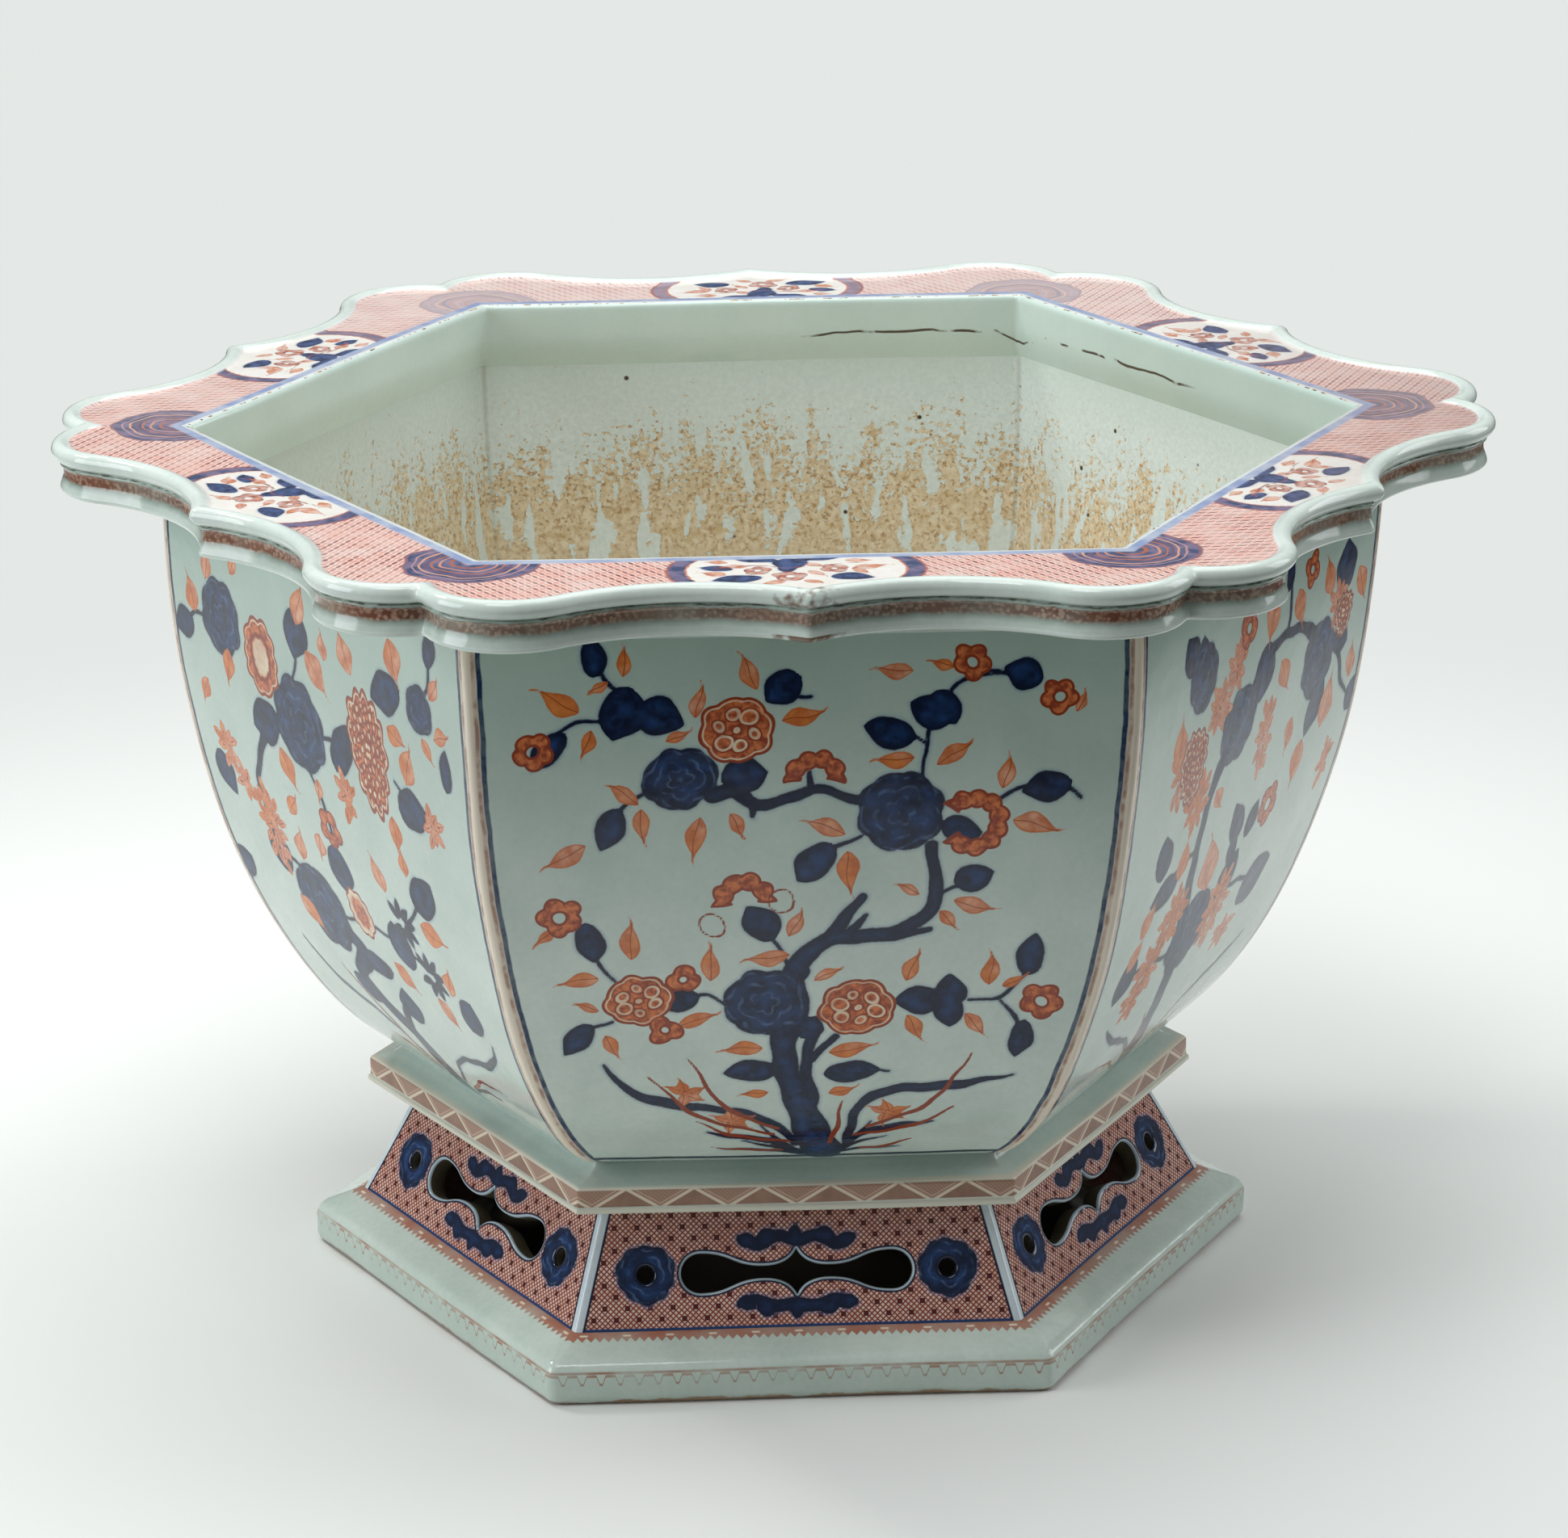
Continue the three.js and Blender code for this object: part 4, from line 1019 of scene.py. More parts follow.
def rim_band():
    """The channel's scroll: tiny curls of brown on a pale brown wash between z = 344 and 349 mm, worn
    in places; below it the glaze has pooled green."""
    material, tree = new_material("rim_channel_scroll")
    z = add(tree, "Math", [height_mm(tree), brush_noise(tree, 9.0, 0.3, 0.7, -0.5, 0.5)], operation="ADD")
    curls = add(tree, "TexVoronoi", {
        "Vector": add(tree, "TexCoord", out=OBJECT_PLACE), "Scale": 620.0}, feature="SMOOTH_F1")
    curls = both_of(tree, add(tree, "MapRange", [curls, 0.25, 0.5]),
                    brush_noise(tree, 24.0, 0.35, 0.65, 0.5, 1.0))
    brown = coats(tree, brushed(tree, 18.0, 0.35, 0.65, "#a6826d", "#c3a48e"), [(curls, "#764232")])
    painted = both_of(tree, add(tree, "MapRange", [z, 343.2, 344.8]), inside(tree, z, 348.9, 0.3),
                      brush_noise(tree, 40.0, 0.35, 0.6, 0.6, 1.0))
    groove = both_of(tree, band(tree, z, 349.9, 0.3, 0.3), brush_noise(tree, 5.0, 0.35, 0.6))
    pool = both_of(tree, add(tree, "MapRange", [z, 341.6, 343.4, 0.0, 0.8]), inside(tree, z, 349.4, 0.3))
    colour = coats(tree, bare_glaze(tree), [(pool, "#9aada2"), (painted, brown), (groove, "#67685a")])
    return glazed(material, tree, colour, 0.12)


RIM_GLAZE = rim_glaze()
RIM_BAND = rim_band()

# %% [markdown]
# The ledge has a red-brown band with a cream zigzag. The foot repeats the net in darker red, with
# stars, and has blue clouds round the slot and a blue flower round each eye. The plinth is plain, with
# a scalloped red edge against the foot and a row of little tongues on its side.

# %% Ledge and foot
def ledge_paint():
    """A zigzag from a triangle wave of the distance along the side, above and below it two browns."""
    material, tree = new_material("ledge_zigzag")
    s, n, _ = parts_of(tree, "place")
    z = height_mm(tree)
    wave = add(tree, "Math", [s, 13.4], operation="PINGPONG")
    wave = add(tree, "MapRange", [wave, 0.0, 13.4, 74.4, 82.6])
    off = add(tree, "Math", [wave, z], operation="SUBTRACT")
    hatch = add(tree, "Math", [add(tree, "Math", [s, z], operation="ADD"), 0.85], operation="PINGPONG")
    hatch = add(tree, "MapRange", [hatch, 0.55, 0.75, 0.0, 0.6])
    upper = inside(tree, off, 0.0, 0.3)
    wash = coats(tree, brushed(tree, 8.0, 0.35, 0.65, "#7d5845", "#8d6853"), [
        (upper, "#997661"), (both_of(tree, hatch, upper), "#765140"),
        (band(tree, off, 0.0, 0.7, 0.25), "#cfbfa9"), (band(tree, off, -1.9, 0.25, 0.2), "#b89d88")])
    colour = coats(tree, bare_glaze(tree), [
        (add(tree, "MapRange", [n, 142.0, 137.0, 0.0, 0.35]), "#7f9c94"),
        (band(tree, z, 82.7, 0.5, 0.3), "#ddd6c4"), (band(tree, z, 78.7, 3.5, 0.3), wash),
        (inside(tree, z, 75.0, 0.3), "#c9c8b8")])
    return glazed(material, tree, colour, 0.12)


def foot_paint():
    """Red net with stars, white corner strips, blue flowers and clouds. A dark blue edge runs round each
    cut, and at the slot a pale line lies inside it."""
    material, tree = new_material("foot_net_and_clouds")
    t, w, corner = parts_of(tree, "place")
    lines = add(tree, "MapRange", [joined(tree, net_cell(tree, 4.0), "MAXIMUM"), 0.26, 0.38])
    star = add(tree, "MapRange", [joined(tree, net_cell(tree), "ADD"), 0.28, 0.2])
    ground = coats(tree, brushed(tree, 7.0, 0.35, 0.65, "#c8aa9b", "#dcc8ba"), [
        (lines, "#84392e"), (star, "#4f1a18")])
    hole = field_of(tree, "hole")
    at_slot = add(tree, "MapRange", [add(tree, "Math", [t], operation="ABSOLUTE"), 52.0, 50.0])
    colour = coats(tree, cobalt_painting(tree, ground), [
        (inside(tree, hole, 1.7, 0.3), COBALT_DEEP),
        (both_of(tree, inside(tree, hole, 0.9, 0.25), at_slot), "#a3b3bd"),
        (inside(tree, w, 1.1, 0.4), COBALT_WASH), (inside(tree, corner, 3.7, 0.3), COBALT_DEEP),
        (inside(tree, corner, 2.7, 0.3), bare_glaze(tree, "#cdd8dc", "#bdc9d0"))])
    return glazed(material, tree, colour, 0.12)


def inside_foot():
    """The back of the foot: thin glaze over clay, painted a deep olive as painted shade."""
    material, tree = new_material("inside_foot_glaze_and_painted_shade")
    return glazed(material, tree, bare_glaze(tree, "#544d3c", "#443f30"), 0.4)


LEDGE_PAINT = ledge_paint()
FOOT_PAINT = foot_paint()
INSIDE_FOOT_SHADE = inside_foot()

# %% Plinth
def plinth_paint():
    """Glaze, a red border with scallops and pale jewels near the foot, a line with tongues below it on
    the side, and bare clay at the ground."""
    material, tree = new_material("plinth_glaze_and_borders")
    s, n, _ = parts_of(tree, "place")
    z = height_mm(tree)
    faded = brush_noise(tree, 14.0, 0.35, 0.65, 0.3, 0.9)
    arch = add(tree, "Math", [add(tree, "Math", [s, 1.75], operation="PINGPONG"), 1.75], operation="DIVIDE")
    border = add(tree, "MapRange", [arch, 0.0, 1.0, 156.4, 158.6])
    border = inside(tree, add(tree, "Math", [n, border], operation="SUBTRACT"), 0.0, 0.3)
    jewel = add(tree, "MapRange", [add(tree, "Math", [s, 8.5], operation="PINGPONG"), 1.9, 1.2])
    tongue = add(tree, "Math", [add(tree, "Math", [s, 3.75], operation="PINGPONG"), 3.0],
                 operation="SUBTRACT")
    tongue = add(tree, "MapRange", [tongue, -1.1, 0.2, 13.0, 9.4])
    edge = band(tree, add(tree, "Math", [z, tongue], operation="SUBTRACT"), 0.0, 0.55, 0.3)
    on_side = both_of(tree, inside(tree, z, 14.8, 0.3), faded)
    bare = wandering(tree, z, clouds(tree, 90.0, 3.0), 1.4)
    colour = coats(tree, bare_glaze(tree, "#c8d4cb", "#b7c6bc"), [
        # Painted shade: the plinth's side, below 15.5 mm, is darker and greener than its top.
        (add(tree, "MapRange", [z, 15.5, 13.0, 0.0, 0.35]), "#93a59a"),
        (both_of(tree, border, add(tree, "MapRange", [faded, 0.3, 0.9, 0.7, 1.0])), "#a8705c"),
        (both_of(tree, jewel, band(tree, n, 155.4, 0.5, 0.3)), "#e4d4c0"),
        (both_of(tree, edge, on_side), "#966a54"),
        (both_of(tree, band(tree, z, 14.2, 0.5, 0.3), on_side), "#966a54"),
        (add(tree, "MapRange", [bare, 2.6, 1.4]), "#8d7458")])
    return glazed(material, tree, colour, 0.1)


PLINTH_PAINT = plinth_paint()

# %% [markdown]
# The cartouches and the foot have their own small paintings, made with the same motifs.

# %% Cartouches and clouds
MEDALLION_AT = (120.75, 209.1)
CARTOUCHE_OUT = 226
PIERCING_UP = 22.0
EYE_AT = 60


def paint_cartouche(sheet):
    """Blue leaves and orange blossoms on the white field of a cartouche; y is the distance n."""
    scatter(sheet, bud, [(-25, 236, 9, 4.6, 170), (17, 236, 8, 4.6, 10), (-5, 217, 7, 6.5, 270),
                         (-17, 211.5, 9, 3.4, 195), (6, 211, 9, 3, 350), (-6, 224, 5, 3.6, 90),
                         (-32, 222, 6, 3.4, 200)])
    scatter(sheet, wreath, [(-6, 234, 6.5), (-17, 226, 5.5), (11, 225, 5.5, 4)])
    scatter(sheet, leaf, [(-33, 229, 11, 200), (24, 223, 12, 340), (-25, 220, 10, 160), (4, 231, 9, 40),
                          (-12, 242, 10, 150), (4, 220, 9, 20), (20, 215, 10, 350), (-31, 214, 9, 190),
                          (20, 229, 9, 40), (3, 242, 9, 20)])
    stroke(sheet, [(-33, 223), (-19, 219), (-6, 223), (9, 220), (24, 218)], [1, 1.4, 1.6, 1.4, 1], "iron")


def paint_foot(sheet):
    """Clouds above and below the slot and a lobed flower round each eye; y runs up the slope."""
    scatter(sheet, peony, [(x, PIERCING_UP, 11.8, 10) for x in (-EYE_AT, EYE_AT)])
    for way in (1, -1):
        y = PIERCING_UP + way * 12.3
        bud(sheet, 0, y + way * 2.4, 4.4, 3, 90 * way)
        for x in (-1, 1):
            stroke(sheet, [(0, y), (x * 8, y + way * 1.6), (x * 16, y - way * 1.6), (x * 23, y + way)],
                   [5.2, 5.2, 4.6, 2.4])
            bud(sheet, x * 12, y + way * 1.6, 4.4, 3.8, 90 - 90 * x)
            bud(sheet, x * 20, y, 4.2, 3.2, 90 - 90 * x)


print("cartouche and foot paintings ready")

# %% [markdown]
# A wall bulges like a sail: steep at the rim and tucked in under itself at the base. Its section is a
# superellipse, walked at even steps of length, so that the painting is equally fine all the way up.

# %% The section of a wall
WALL_BASE_Z = 89.2
WALL_CREST_Z = 340
WALL_END_Z = 328
WALL_OUTSIDE = (136.2, 215.2)
WALL_INSIDE = (123, 206.7)
OUTSIDE_RADIUS, INSIDE_RADIUS = 2.5, 6.0
WALL_COLUMNS = 268
OUTSIDE_ROWS = 264
INSIDE_ROWS = 48
LENGTH_BELOW = 3.2
UNPAINTED_UP = 300.0


def wall_section(base, top, count):
    """Half widths and heights of a wall's face at even steps from its base to the rim, and the length
    so far. With an angle a from 0 to nearly 90 degrees, n = base + (top - base) sin(a) ** (4/3) and
    z = crest - height cos(a) ** (2/2.3)."""
    rise = WALL_CREST_Z - WALL_BASE_Z
    last = math.acos(((WALL_CREST_Z - WALL_END_Z) / rise) ** 1.15)
    angle = np.linspace(0, last, 3000)
    n = base + (top - base) * np.sin(angle) ** (4 / 3)
    z = WALL_CREST_Z - rise * np.cos(angle) ** (2 / 2.3)
    length = np.concatenate([[0], np.cumsum(np.hypot(np.diff(n), np.diff(z)))])
    even = np.linspace(0, length[-1], count)
    return np.interp(even, length, n), np.interp(even, length, z), even


outer_n, outer_z, outer_length = wall_section(*WALL_OUTSIDE, OUTSIDE_ROWS)
inner_n, inner_z, _ = wall_section(*WALL_INSIDE, INSIDE_ROWS)
print("the painted face of a wall is", round(outer_length[-1], 1), "mm high along its curve")


# %% The six walls
def painted(paint, x, y, rows, shape):
    """The fields of a painting on some rows of a piece; on the other rows they are far away."""
    sheet = blank_sheet(x, y)
    paint(sheet)
    fields = {name: np.full(shape, FAR) for name in PAINT_FIELDS}
    for name in PAINT_FIELDS:
        fields[name][rows] = sheet[name].reshape(x.shape)
    return fields


def make_wall(side):
    """One wall slab: its outside with a tree on it, its top edge and its inside."""
    half = np.concatenate([outer_n, inner_n[::-1]])[:, None]
    height = np.concatenate([outer_z, inner_z[::-1]])[:, None]
    radius = np.repeat([OUTSIDE_RADIUS, INSIDE_RADIUS], [OUTSIDE_ROWS, INSIDE_ROWS])[:, None]
    s, n, along = hexagon(half, radius, even_shares(WALL_COLUMNS))
    front = slice(0, OUTSIDE_ROWS)
    up = np.full(s.shape, UNPAINTED_UP)
    up[front] = outer_length[:, None] + LENGTH_BELOW
    paint, hand = TREES[side]
    fields = painted(paint, hand * s[front], up[front], front, s.shape)
    corner = np.abs(along[:, -1:]) - np.abs(along)
    fields["place"] = np.stack([s, up, corner], axis=-1)
    zones = np.zeros(len(half), int)
    zones[OUTSIDE_ROWS - 1:-1] = 1
    return put_slab(f"wall_{side}", side, s, n, np.broadcast_to(height, s.shape), fields,
                    [PAINTED_WALL, INSIDE_WALL], zones, f"wall_slab_{side}")


for side in range(1, SIDES + 1):
    wall = make_wall(side)
    print(wall.name, len(wall.data.polygons), "faces")

# %% [markdown]
# The rim's edge runs in lobes. On half a side it is a hollow arc from a point in the middle of the
# side, and then a round lobe up to the corner, where two lobes meet in a notch. A moulding of its
# section keeps the same centres and changes only the radii.

# %% The rim's edge
TIP_OUT = 263
HOLLOW_AT, HOLLOW_OUT = 45.4, 249
LOBE_AT, LOBE_OUT = 106.7, 266.5
HOLLOW_RADIUS = ((TIP_OUT - HOLLOW_OUT) ** 2 + HOLLOW_AT ** 2) / (2 * (TIP_OUT - HOLLOW_OUT))
LOBE_RADIUS = (((LOBE_AT - HOLLOW_AT) ** 2 + (LOBE_OUT - HOLLOW_OUT) ** 2)
               / (2 * (LOBE_OUT - HOLLOW_OUT)) - HOLLOW_RADIUS)
HOLLOW_CENTRE = np.array([HOLLOW_AT, HOLLOW_OUT + HOLLOW_RADIUS])
LOBE_CENTRE = np.array([LOBE_AT, LOBE_OUT - LOBE_RADIUS])
HOLLOW_SHARE = 0.595
NOTCH_EASE, NOTCH_SLOPE = 2.5, 0.86
TIP_EASE, TIP_SLOPE = 1.5, 0.68
MITRE = np.array([0.5, math.sqrt(0.75)])


def rim_edge(inset, share):
    """A point (s, n) of the lobed edge, moved in by an inset. The point of the tip and the bottom of
    the notch are eased: within a distance e of them the edge is a parabola, slope * gap ** 2 / 2 e."""
    hollow, lobe = HOLLOW_RADIUS + inset, LOBE_RADIUS - inset
    part = np.abs(share)
    join = math.atan2(*(LOBE_CENTRE - HOLLOW_CENTRE)[::-1])
    tip = np.arctan2(-np.sqrt(hollow ** 2 - HOLLOW_AT ** 2), -HOLLOW_AT)
    first = tip + (join - tip) * np.minimum(part / HOLLOW_SHARE, 1)
    aside = LOBE_CENTRE[0] * MITRE[1] - LOBE_CENTRE[1] * MITRE[0]
    reach = LOBE_CENTRE @ MITRE + np.sqrt(lobe ** 2 - aside ** 2)
    end = np.arctan2(reach * MITRE[1] - LOBE_CENTRE[1], reach * MITRE[0] - LOBE_CENTRE[0])
    past = np.clip((part - HOLLOW_SHARE) / (1 - HOLLOW_SHARE), 0, 1)
    second = join + np.pi + (end - join - np.pi) * past
    on_lobe = part > HOLLOW_SHARE
    s = np.where(on_lobe, LOBE_CENTRE[0] + lobe * np.cos(second), HOLLOW_CENTRE[0] + hollow * np.cos(first))
    n = np.where(on_lobe, LOBE_CENTRE[1] + lobe * np.sin(second), HOLLOW_CENTRE[1] + hollow * np.sin(first))
    gap = np.clip(NOTCH_EASE - (n * MITRE[0] - s * MITRE[1]), 0, NOTCH_EASE)
    lift = NOTCH_SLOPE * gap ** 2 / (2 * NOTCH_EASE)
    gap = np.clip(TIP_EASE - s, 0, TIP_EASE)
    drop = TIP_SLOPE * gap ** 2 / (2 * TIP_EASE)
    return np.sign(share) * (s + lift * MITRE[0]), n + lift * MITRE[1] - drop


print("lobes of radius", round(LOBE_RADIUS, 1), "mm and hollows of radius", round(HOLLOW_RADIUS, 1), "mm")

# %% [markdown]
# The rim's section has a collar that stands on the wall, a flat painted field, a rounded bead, a
# channel below it and a thin lip under that. Inside the distance 216 it follows the straight hexagon,
# outside 246 it follows the lobes, and in between it passes from one to the other.

# %% The six rim sections
FIELD_Z = 356
TOP_FROM_Z = 350
RIM_NOMINAL = 256
STRAIGHT_TO, MOULDED_FROM = 216, 246
RIM_COLUMNS = 236
RIM_STEP = 1.7
RIM_RADIUS = 3.0
RIM_CORNER_SHARE = 0.012
RIM_SECTION = [
    # half width, height, radius of the corner
    (206.7, 328, 0), (215.2, 328, 0), (215.2, 343, 3), (246, 343, 2), (247, 338, 1), (251.6, 337.5, 1),
    (253, 338.9, 1), (252.1, 341.7, 1), (251.2, 344, 1), (251.2, 348, 0.6), (252.5, 348.5, 0.5),
    (252.5, 349.5, 0.5), (251.4, 350.1, 0.4), (254.4, 351.4, 1.2), (256, 354, 2), (255, 356.9, 2),
    (252.2, 358.2, 2), (249.6, 357.2, 1.4), (247.6, 356, 1.4), (246, 356, 0.8),
    (204.9, 356, 1.6), (203.5, 354.6, 1.6), (203.5, 340, 3), (204.5, 335, 3),
]
FIELD_TO = 249.5
CHANNEL_OUT, CHANNEL_UP = (250.6, 253.2), (340, 350.6)
CARTOUCHE_ASIDE = -3
CARTOUCHE_HALF = (38.5, 30)
NET_STEP = (5, 7.6)


def make_rim(side):
    """One rim section, with its painted field, its net and its medallions at both corners."""
    section = soften(RIM_SECTION, RIM_STEP)
    shares = even_shares(RIM_COLUMNS, RIM_CORNER_SHARE)
    x = section[:, :1]
    blend = np.clip((x - STRAIGHT_TO) / (MOULDED_FROM - STRAIGHT_TO), 0, 1)
    straight = hexagon(np.minimum(x, STRAIGHT_TO), RIM_RADIUS, shares)
    moulded = rim_edge(RIM_NOMINAL - np.maximum(x, MOULDED_FROM), shares)
    s, n = ((1 - blend) * straight[i] + blend * moulded[i] for i in (0, 1))
    nominal, z = (np.broadcast_to(section[:, i:i + 1], s.shape) for i in (0, 1))
    top = np.flatnonzero(section[:, 1] > TOP_FROM_Z)
    fields = painted(paint_cartouche, s[top], n[top], top, s.shape)
    fields["medal"] = np.hypot(np.abs(s) - MEDALLION_AT[0], n - MEDALLION_AT[1])
    wide, deep = CARTOUCHE_HALF
    fields["reserve"] = (np.hypot((s - CARTOUCHE_ASIDE) / wide, (n - CARTOUCHE_OUT) / deep) - 1) * wide
    net = s / NET_STEP[0], n / NET_STEP[1]
    fields["net"] = np.stack([net[0] + net[1], net[0] - net[1], np.full(s.shape, 0.5)], axis=-1)
    fields["place"] = np.stack([s, n, nominal], axis=-1)
    middle_x, middle_z = (section + np.roll(section, -1, axis=0)).T / 2
    zones = np.where((middle_z > FIELD_Z - 0.3) & (middle_x < FIELD_TO), 0, 1)
    channel = ((middle_x > CHANNEL_OUT[0]) & (middle_x < CHANNEL_OUT[1])
               & (middle_z > CHANNEL_UP[0]) & (middle_z < CHANNEL_UP[1]))
    zones[channel] = 2
    return put_slab(f"rim_{side}", side, s, n, z, fields, [RIM_FIELD, RIM_GLAZE, RIM_BAND], zones,
                    f"rim_section_{side}")


for side in range(1, SIDES + 1):
    rim = make_rim(side)
    print(rim.name, len(rim.data.polygons), "faces")

# %% [markdown]
# Below the bowl come a stepped ledge and, at the ground, a plinth. Both are plain mouldings.

# %% The ledge and the plinth
LEDGE_SECTION = [
    (129.5, 71.8, 0.5), (147.8, 71.8, 0.8), (149.8, 72.3, 0.8), (150.1, 73.4, 0.6), (149.8, 74.5, 0.5),
    (149, 75, 0.4), (149, 82.2, 0.7), (148.2, 83, 0.7), (141, 84.4, 2), (137.8, 86.4, 1.2),
    (136.2, 89.2, 0.5), (129.5, 89.2, 0.5),
]
PLINTH_SECTION = [
    (132, 0, 0.6), (168.6, 0, 1.2), (171.2, 2.8, 1.8), (171.4, 13.8, 2.4), (169.4, 17.4, 2.4),
    (153.9, 23.6, 2.6), (134, 23.6, 1), (132, 21.6, 1),
]
MOULDING_COLUMNS = 78
MOULDING_STEP = 1.5
MOULDING_CORNER_SHARE = 0.03
MOULDINGS = [
    # name, section, finish, radius at the mitre, node, slot
    ("ledge", LEDGE_SECTION, LEDGE_PAINT, 1.5, "ledge_moulding", "ledge_enamel"),
    ("plinth", PLINTH_SECTION, PLINTH_PAINT, 5, "plinth_slab", "plinth_glaze"),
]


def make_moulding(side, name, section, material, radius, node, slot):
    """A straight moulding of one side, with its section's corners softened."""
    section = soften(section, MOULDING_STEP)
    s, n, along = hexagon(section[:, :1], radius, even_shares(MOULDING_COLUMNS, MOULDING_CORNER_SHARE))
    z = np.broadcast_to(section[:, 1:], s.shape)
    fields = {"place": np.stack([s, n, np.abs(along[:, -1:]) - np.abs(along)], axis=-1)}
    zones = np.zeros(len(section), int)
    return put_slab(f"{name}_{side}", side, s, n, z, fields, [material], zones, f"{node}_{side}")


for side in range(1, SIDES + 1):
    for moulding in MOULDINGS:
        made = make_moulding(side, *moulding)
        print(made.name, len(made.data.polygons), "faces")

# %% [markdown]
# A foot panel leans inwards and is cut through: a long slot with pointed middle and round ends, and an
# eye on each side of it. The panel is a flat sheet of triangles first, with rings of points round the
# openings, and is then given its place, its thickness and a softened edge at each cut.

# %% The outline of the openings
FOOT_BOTTOM_Z, FOOT_TOP_Z = 23.6, 73.6
FOOT_BOTTOM_HALF = 153.05
FOOT_LEAN = 0.485
FOOT_THICKNESS = 9.7
LEAN_COS = 1 / math.sqrt(1 + FOOT_LEAN ** 2)
LEAN_SIN = FOOT_LEAN * LEAN_COS
SLOPE = (FOOT_TOP_Z - FOOT_BOTTOM_Z) / LEAN_COS
EYE_RADIUS = 3.4
NECK_HALF = 2.4
END_AT, END_RADIUS = 38.2, 7.8


def curve(count, *points):
    """Points of a Bezier curve: of degree d, the sum of choose(d, i) (1 - t) ** (d - i) t ** i p_i."""
    t = np.linspace(0, 1, count, endpoint=False)[:, None]
    degree = len(points) - 1
    return sum(math.comb(degree, i) * (1 - t) ** (degree - i) * t ** i * np.array(p)
               for i, p in enumerate(points))


def slot_outline():
    """The long slot: an ogee point in the middle, a narrow neck, and ends widening to a round."""
    point = curve(8, (0, 9), (3.25, NECK_HALF), (13, NECK_HALF))
    neck = curve(16, (13, NECK_HALF), (25.6, NECK_HALF), (25.6, END_RADIUS), (END_AT, END_RADIUS))
    turn = np.linspace(np.pi / 2, 0, 9)[:, None]
    end = [END_AT, 0] + END_RADIUS * np.hstack([np.cos(turn), np.sin(turn)])
    quarter = np.vstack([point, neck, end])
    half = np.vstack([quarter, (quarter * [1, -1])[-2::-1]])
    return np.vstack([half, (half * [-1, 1])[-2:0:-1]])


def eye_outline(x):
    """A small round opening."""
    turn = np.linspace(0, 2 * np.pi, 24, endpoint=False)
    return np.stack([x + EYE_RADIUS * np.cos(turn), EYE_RADIUS * np.sin(turn)], axis=1)


OPENINGS = [outline + [0, PIERCING_UP]
            for outline in (slot_outline(), eye_outline(-EYE_AT), eye_outline(EYE_AT))]


def distance_to_opening(points):
    """The distance in mm from each point of the sheet to the nearest opening, negative inside it."""
    nearest = np.full(len(points), np.inf)
    within = np.zeros(len(points), bool)
    x, y = points[:, :1], points[:, 1:]
    for outline in OPENINGS:
        start_x, start_y = outline.T
        run_x, run_y = (np.roll(outline, -1, axis=0) - outline).T
        t = np.clip(((x - start_x) * run_x + (y - start_y) * run_y) / (run_x ** 2 + run_y ** 2), 0, 1)
        away = np.hypot(x - start_x - t * run_x, y - start_y - t * run_y)
        nearest = np.minimum(nearest, away.min(1))
        spans = (start_y > y) != (np.roll(start_y, -1) > y)
        crosses = spans & (x < start_x + (y - start_y) * run_x / (run_y + 1e-12))
        within |= crosses.sum(1) % 2 == 1
    return np.where(within, -nearest, nearest)


print("openings:", [len(o) for o in OPENINGS], "points; sheet", round(SLOPE, 2), "mm up the slope")

# %% The flat sheet of a foot panel
LIP = 1.2
SHEET_STEP = 1.45
SHEET_WIDE = 174
RINGS_AT = (0.0, 0.18, 0.6, LIP)


def foot_sheet():
    """Points and triangles of the flat sheet. A point is mm along the side and mm up the slope. The
    sheet is a grid away from the openings, and four rings of points follow each outline."""
    up = np.linspace(0, SLOPE, round(SLOPE / SHEET_STEP) + 1)
    shares = even_shares(round(SHEET_WIDE / SHEET_STEP), 0.02, 3)
    share, w = np.meshgrid(shares, up)
    length = (FOOT_BOTTOM_HALF - w * LEAN_SIN) * TAN_MITRE
    grid = np.stack([(share * length).ravel(), w.ravel()], axis=1)
    edge = ((w == 0) | (w == up[-1]) | (np.abs(share) == 1)).ravel()
    grid = grid[edge | (distance_to_opening(grid) > LIP + 0.5 * SHEET_STEP)]
    rings, links = [grid], []
    for outline in OPENINGS:
        run = np.roll(outline, -1, axis=0) - np.roll(outline, 1, axis=0)
        outward = np.stack([-run[:, 1], run[:, 0]], axis=1) / np.linalg.norm(run, axis=1)[:, None]
        if distance_to_opening(outline + 0.3 * outward).mean() < 0:
            outward = -outward
        number = sum(map(len, rings)) + np.arange(len(outline))
        links.append(np.stack([number, np.roll(number, -1)], axis=1))
        rings += [outline + away * outward for away in RINGS_AT]
    points = [Vector(p) for p in np.vstack(rings)]
    made = delaunay_2d_cdt(points, np.vstack(links).tolist(), [], 0, 1e-5)
    points = np.array([tuple(p) for p in made[0]])
    triangles = np.array(made[2])
    triangles = triangles[distance_to_opening(points[triangles].mean(1)) > 0]
    first, second, third = (points[triangles[:, i]] for i in range(3))
    run, other = second - first, third - first
    area = run[:, 0] * other[:, 1] - run[:, 1] * other[:, 0]
    triangles = np.where(area[:, None] < 0, triangles[:, ::-1], triangles)
    triangles = triangles[np.abs(area) > 1e-6]
    used, triangles = np.unique(triangles, return_inverse=True)
    return points[used], triangles.reshape(-1, 3)


def open_edges(triangles):
    """The edges that belong to one triangle only, in the direction the triangle runs."""
    edges = np.vstack([triangles[:, [0, 1]], triangles[:, [1, 2]], triangles[:, [2, 0]]])
    _, number, count = np.unique(np.sort(edges, axis=1), axis=0, return_inverse=True, return_counts=True)
    return edges[count[number.ravel()] == 1]


sheet, sheet_triangles = foot_sheet()
sheet_hole = distance_to_opening(sheet)
foot_painting = blank_sheet(sheet[:, 0], sheet[:, 1])
paint_foot(foot_painting)
print("foot sheet:", len(sheet), "points,", len(sheet_triangles), "triangles")


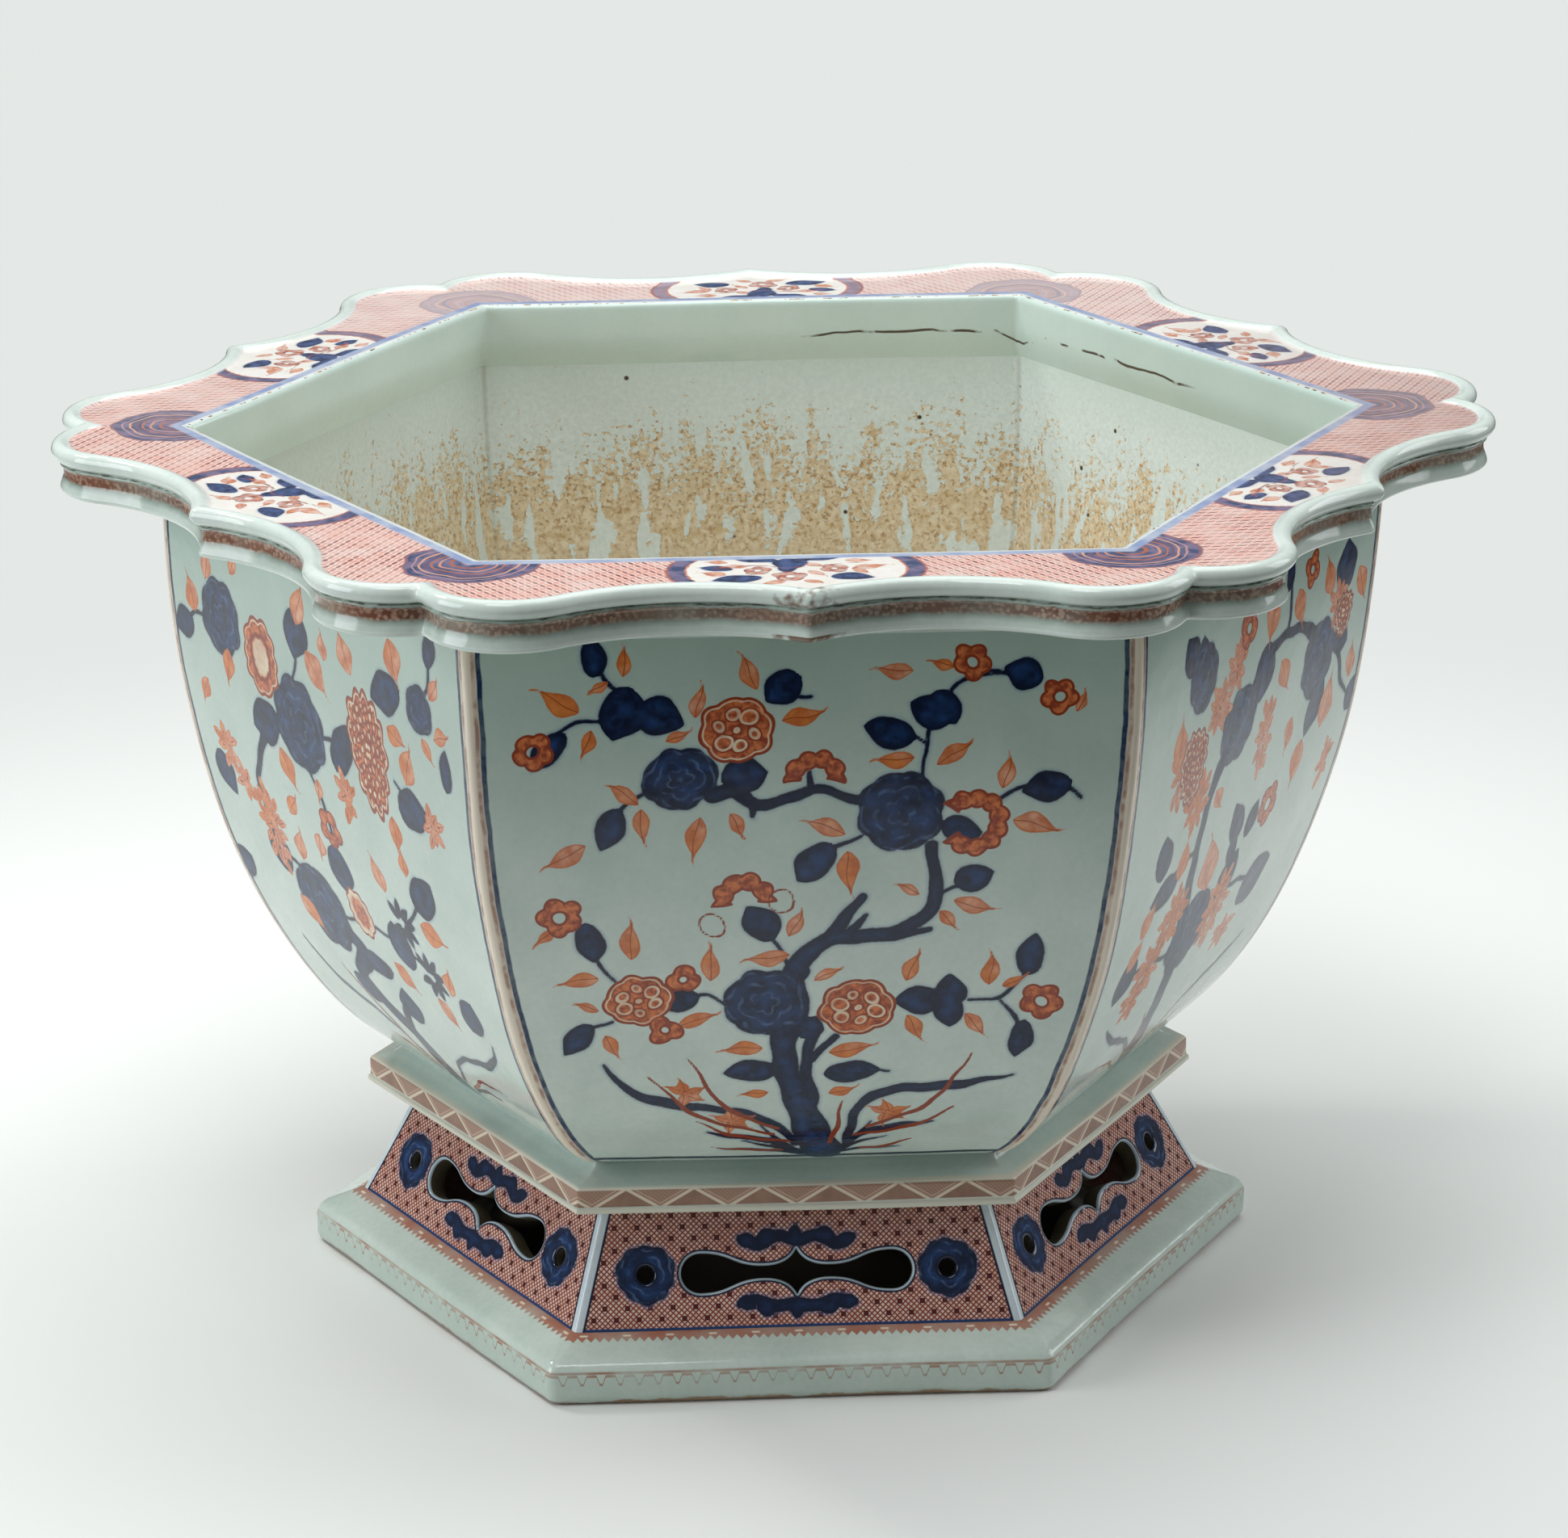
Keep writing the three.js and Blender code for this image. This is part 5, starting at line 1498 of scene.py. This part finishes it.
# %% The six foot panels
FRONT_RADIUS, BACK_RADIUS = 1.8, 2.0
BACK_EASE = 8
BACK_MITRE_SHARE = 0.2
FOOT_NET_STEP = 9


def foot_position(behind):
    """Where each point of the sheet goes, as (s, n, z), on the front face or behind on the back face.
    At a cut the surface sinks on a quarter circle. A back point lies square behind its front point, but
    level with it near the bottom and the top, and in line with the mitre at both ends."""
    t, w = sheet.T
    half = FOOT_BOTTOM_HALF - w * LEAN_SIN
    z = FOOT_BOTTOM_Z + w * LEAN_COS
    share = t / (half * TAN_MITRE)
    lip = LIP - np.clip(sheet_hole, 0, LIP)
    sunk = LIP - np.sqrt(LIP ** 2 - lip ** 2)
    if behind:
        ease = np.clip(np.minimum(w, SLOPE - w) / BACK_EASE, 0, 1)
        inner = half - FOOT_THICKNESS + ease * (FOOT_THICKNESS - FOOT_THICKNESS * LEAN_COS ** 2)
        z = z - ease * FOOT_THICKNESS * LEAN_COS * LEAN_SIN + sunk * LEAN_SIN
        kept = np.clip((np.abs(share) - 1) / BACK_MITRE_SHARE + 1, 0, 1)
        tight = inner * TAN_MITRE
        reach = np.abs(t) + kept * (tight - half * TAN_MITRE)
        s, n, _ = hexagon(inner, BACK_RADIUS, np.sign(t) * np.minimum(reach / tight, 1))
        return np.stack([s, n + sunk * LEAN_COS, z], axis=1)
    s, n, _ = hexagon(half, FRONT_RADIUS, np.clip(share, -1, 1))
    return np.stack([s, n - sunk * LEAN_COS, z - sunk * LEAN_SIN], axis=1)


def make_foot(side):
    """One foot panel: the sheet twice, joined all round and through the openings."""
    count = len(sheet)
    first, second = open_edges(sheet_triangles).T
    walls = np.stack([second, first, first + count, second + count], axis=1)
    triangles = np.vstack([sheet_triangles, sheet_triangles[:, ::-1] + count])
    zones = np.repeat([0, 1], [len(sheet_triangles), len(sheet_triangles) + len(walls)])
    s, n, z = np.vstack([foot_position(False), foot_position(True)]).T[:, :, None]
    out, right = side_axes(side)
    points = n * out + s * right + z * np.array([0, 0, 1])
    t, w = sheet.T
    corner = (FOOT_BOTTOM_HALF - w * LEAN_SIN) * TAN_MITRE - np.abs(t)
    fields = {name: foot_painting[name] for name in PAINT_FIELDS}
    fields.update(
        place=np.stack([t, w, corner], axis=1), hole=sheet_hole,
        net=np.stack([(t + w) / FOOT_NET_STEP, (t - w) / FOOT_NET_STEP, np.full(count, 0.5)], axis=1))
    fields = {name: np.concatenate([values, values]) for name, values in fields.items()}
    return put_piece(f"foot_{side}", points + settle(points), [triangles, walls], fields,
                     [FOOT_PAINT, INSIDE_FOOT_SHADE], zones, [f"foot_panel_{side}"])


for side in range(1, SIDES + 1):
    foot = make_foot(side)
    print(foot.name, len(foot.data.polygons), "faces")

# %% [markdown]
# The floor of the bowl is a slab of bare clay with a drain hole in the middle.

# %% The bowl's floor
DRAIN_RADIUS = 14
FLOOR_EDGE = 122.4
FAR_FROM_MITRE = 100.0
FLOOR_RINGS = np.array([
    # mm out from the drain hole's edge, or from the axis once it is past 60 mm; height
    (0, 87.6), (0.3, 88.4), (1, 88.9), (30, 88.9), (70, 88.9), (100, 88.9), (121, 88.9), (122.4, 88.3),
    (129.2, 84.4), (129.7, 83.6), (129.7, 74.6), (129, 73.9), (70, 73.9), (1, 73.9), (0, 74.9),
])


def make_bowl_floor():
    """The floor: its section in rings, from the round drain hole to the hexagon at the wall. At an
    angle a from the middle of a side, a hexagon lies 1 / cos(a) times as far out as a circle."""
    turn = np.linspace(0, 2 * np.pi, 360, endpoint=False)
    wedge = 2 * np.pi / SIDES
    hexagonal = 1 / np.cos(np.mod(turn - np.pi / 2 + wedge / 2, wedge) - wedge / 2)
    out, z = FLOOR_RINGS[:, :1], FLOOR_RINGS[:, 1:]
    part = np.clip(out / FLOOR_EDGE, 0, 1.06)
    radius = DRAIN_RADIUS + out - DRAIN_RADIUS * np.clip(out / 60, 0, 1)
    radius = radius * (1 + (hexagonal - 1) * np.clip(part * 1.6 - 0.6, 0, 1))
    points = np.stack([radius * np.cos(turn), radius * np.sin(turn), np.broadcast_to(z, radius.shape)], -1)
    grid = np.arange(radius.size).reshape(radius.shape)
    right, below = np.roll(grid, -1, axis=1), np.roll(grid, -1, axis=0)
    quads = np.stack([grid, below, np.roll(below, -1, axis=1), right], axis=-1).reshape(-1, 4)
    points = points.reshape(-1, 3)
    fields = {"place": np.full(points.shape, FAR_FROM_MITRE)}
    return put_piece("bowl_floor", points + settle(points), [quads], fields, [INSIDE_WALL],
                     np.zeros(len(quads), int), ["floor_slab"])


bowl_floor = make_bowl_floor()
print("bowl floor:", len(bowl_floor.data.polygons), "faces")

# %% Update the scene
bpy.context.view_layer.update()
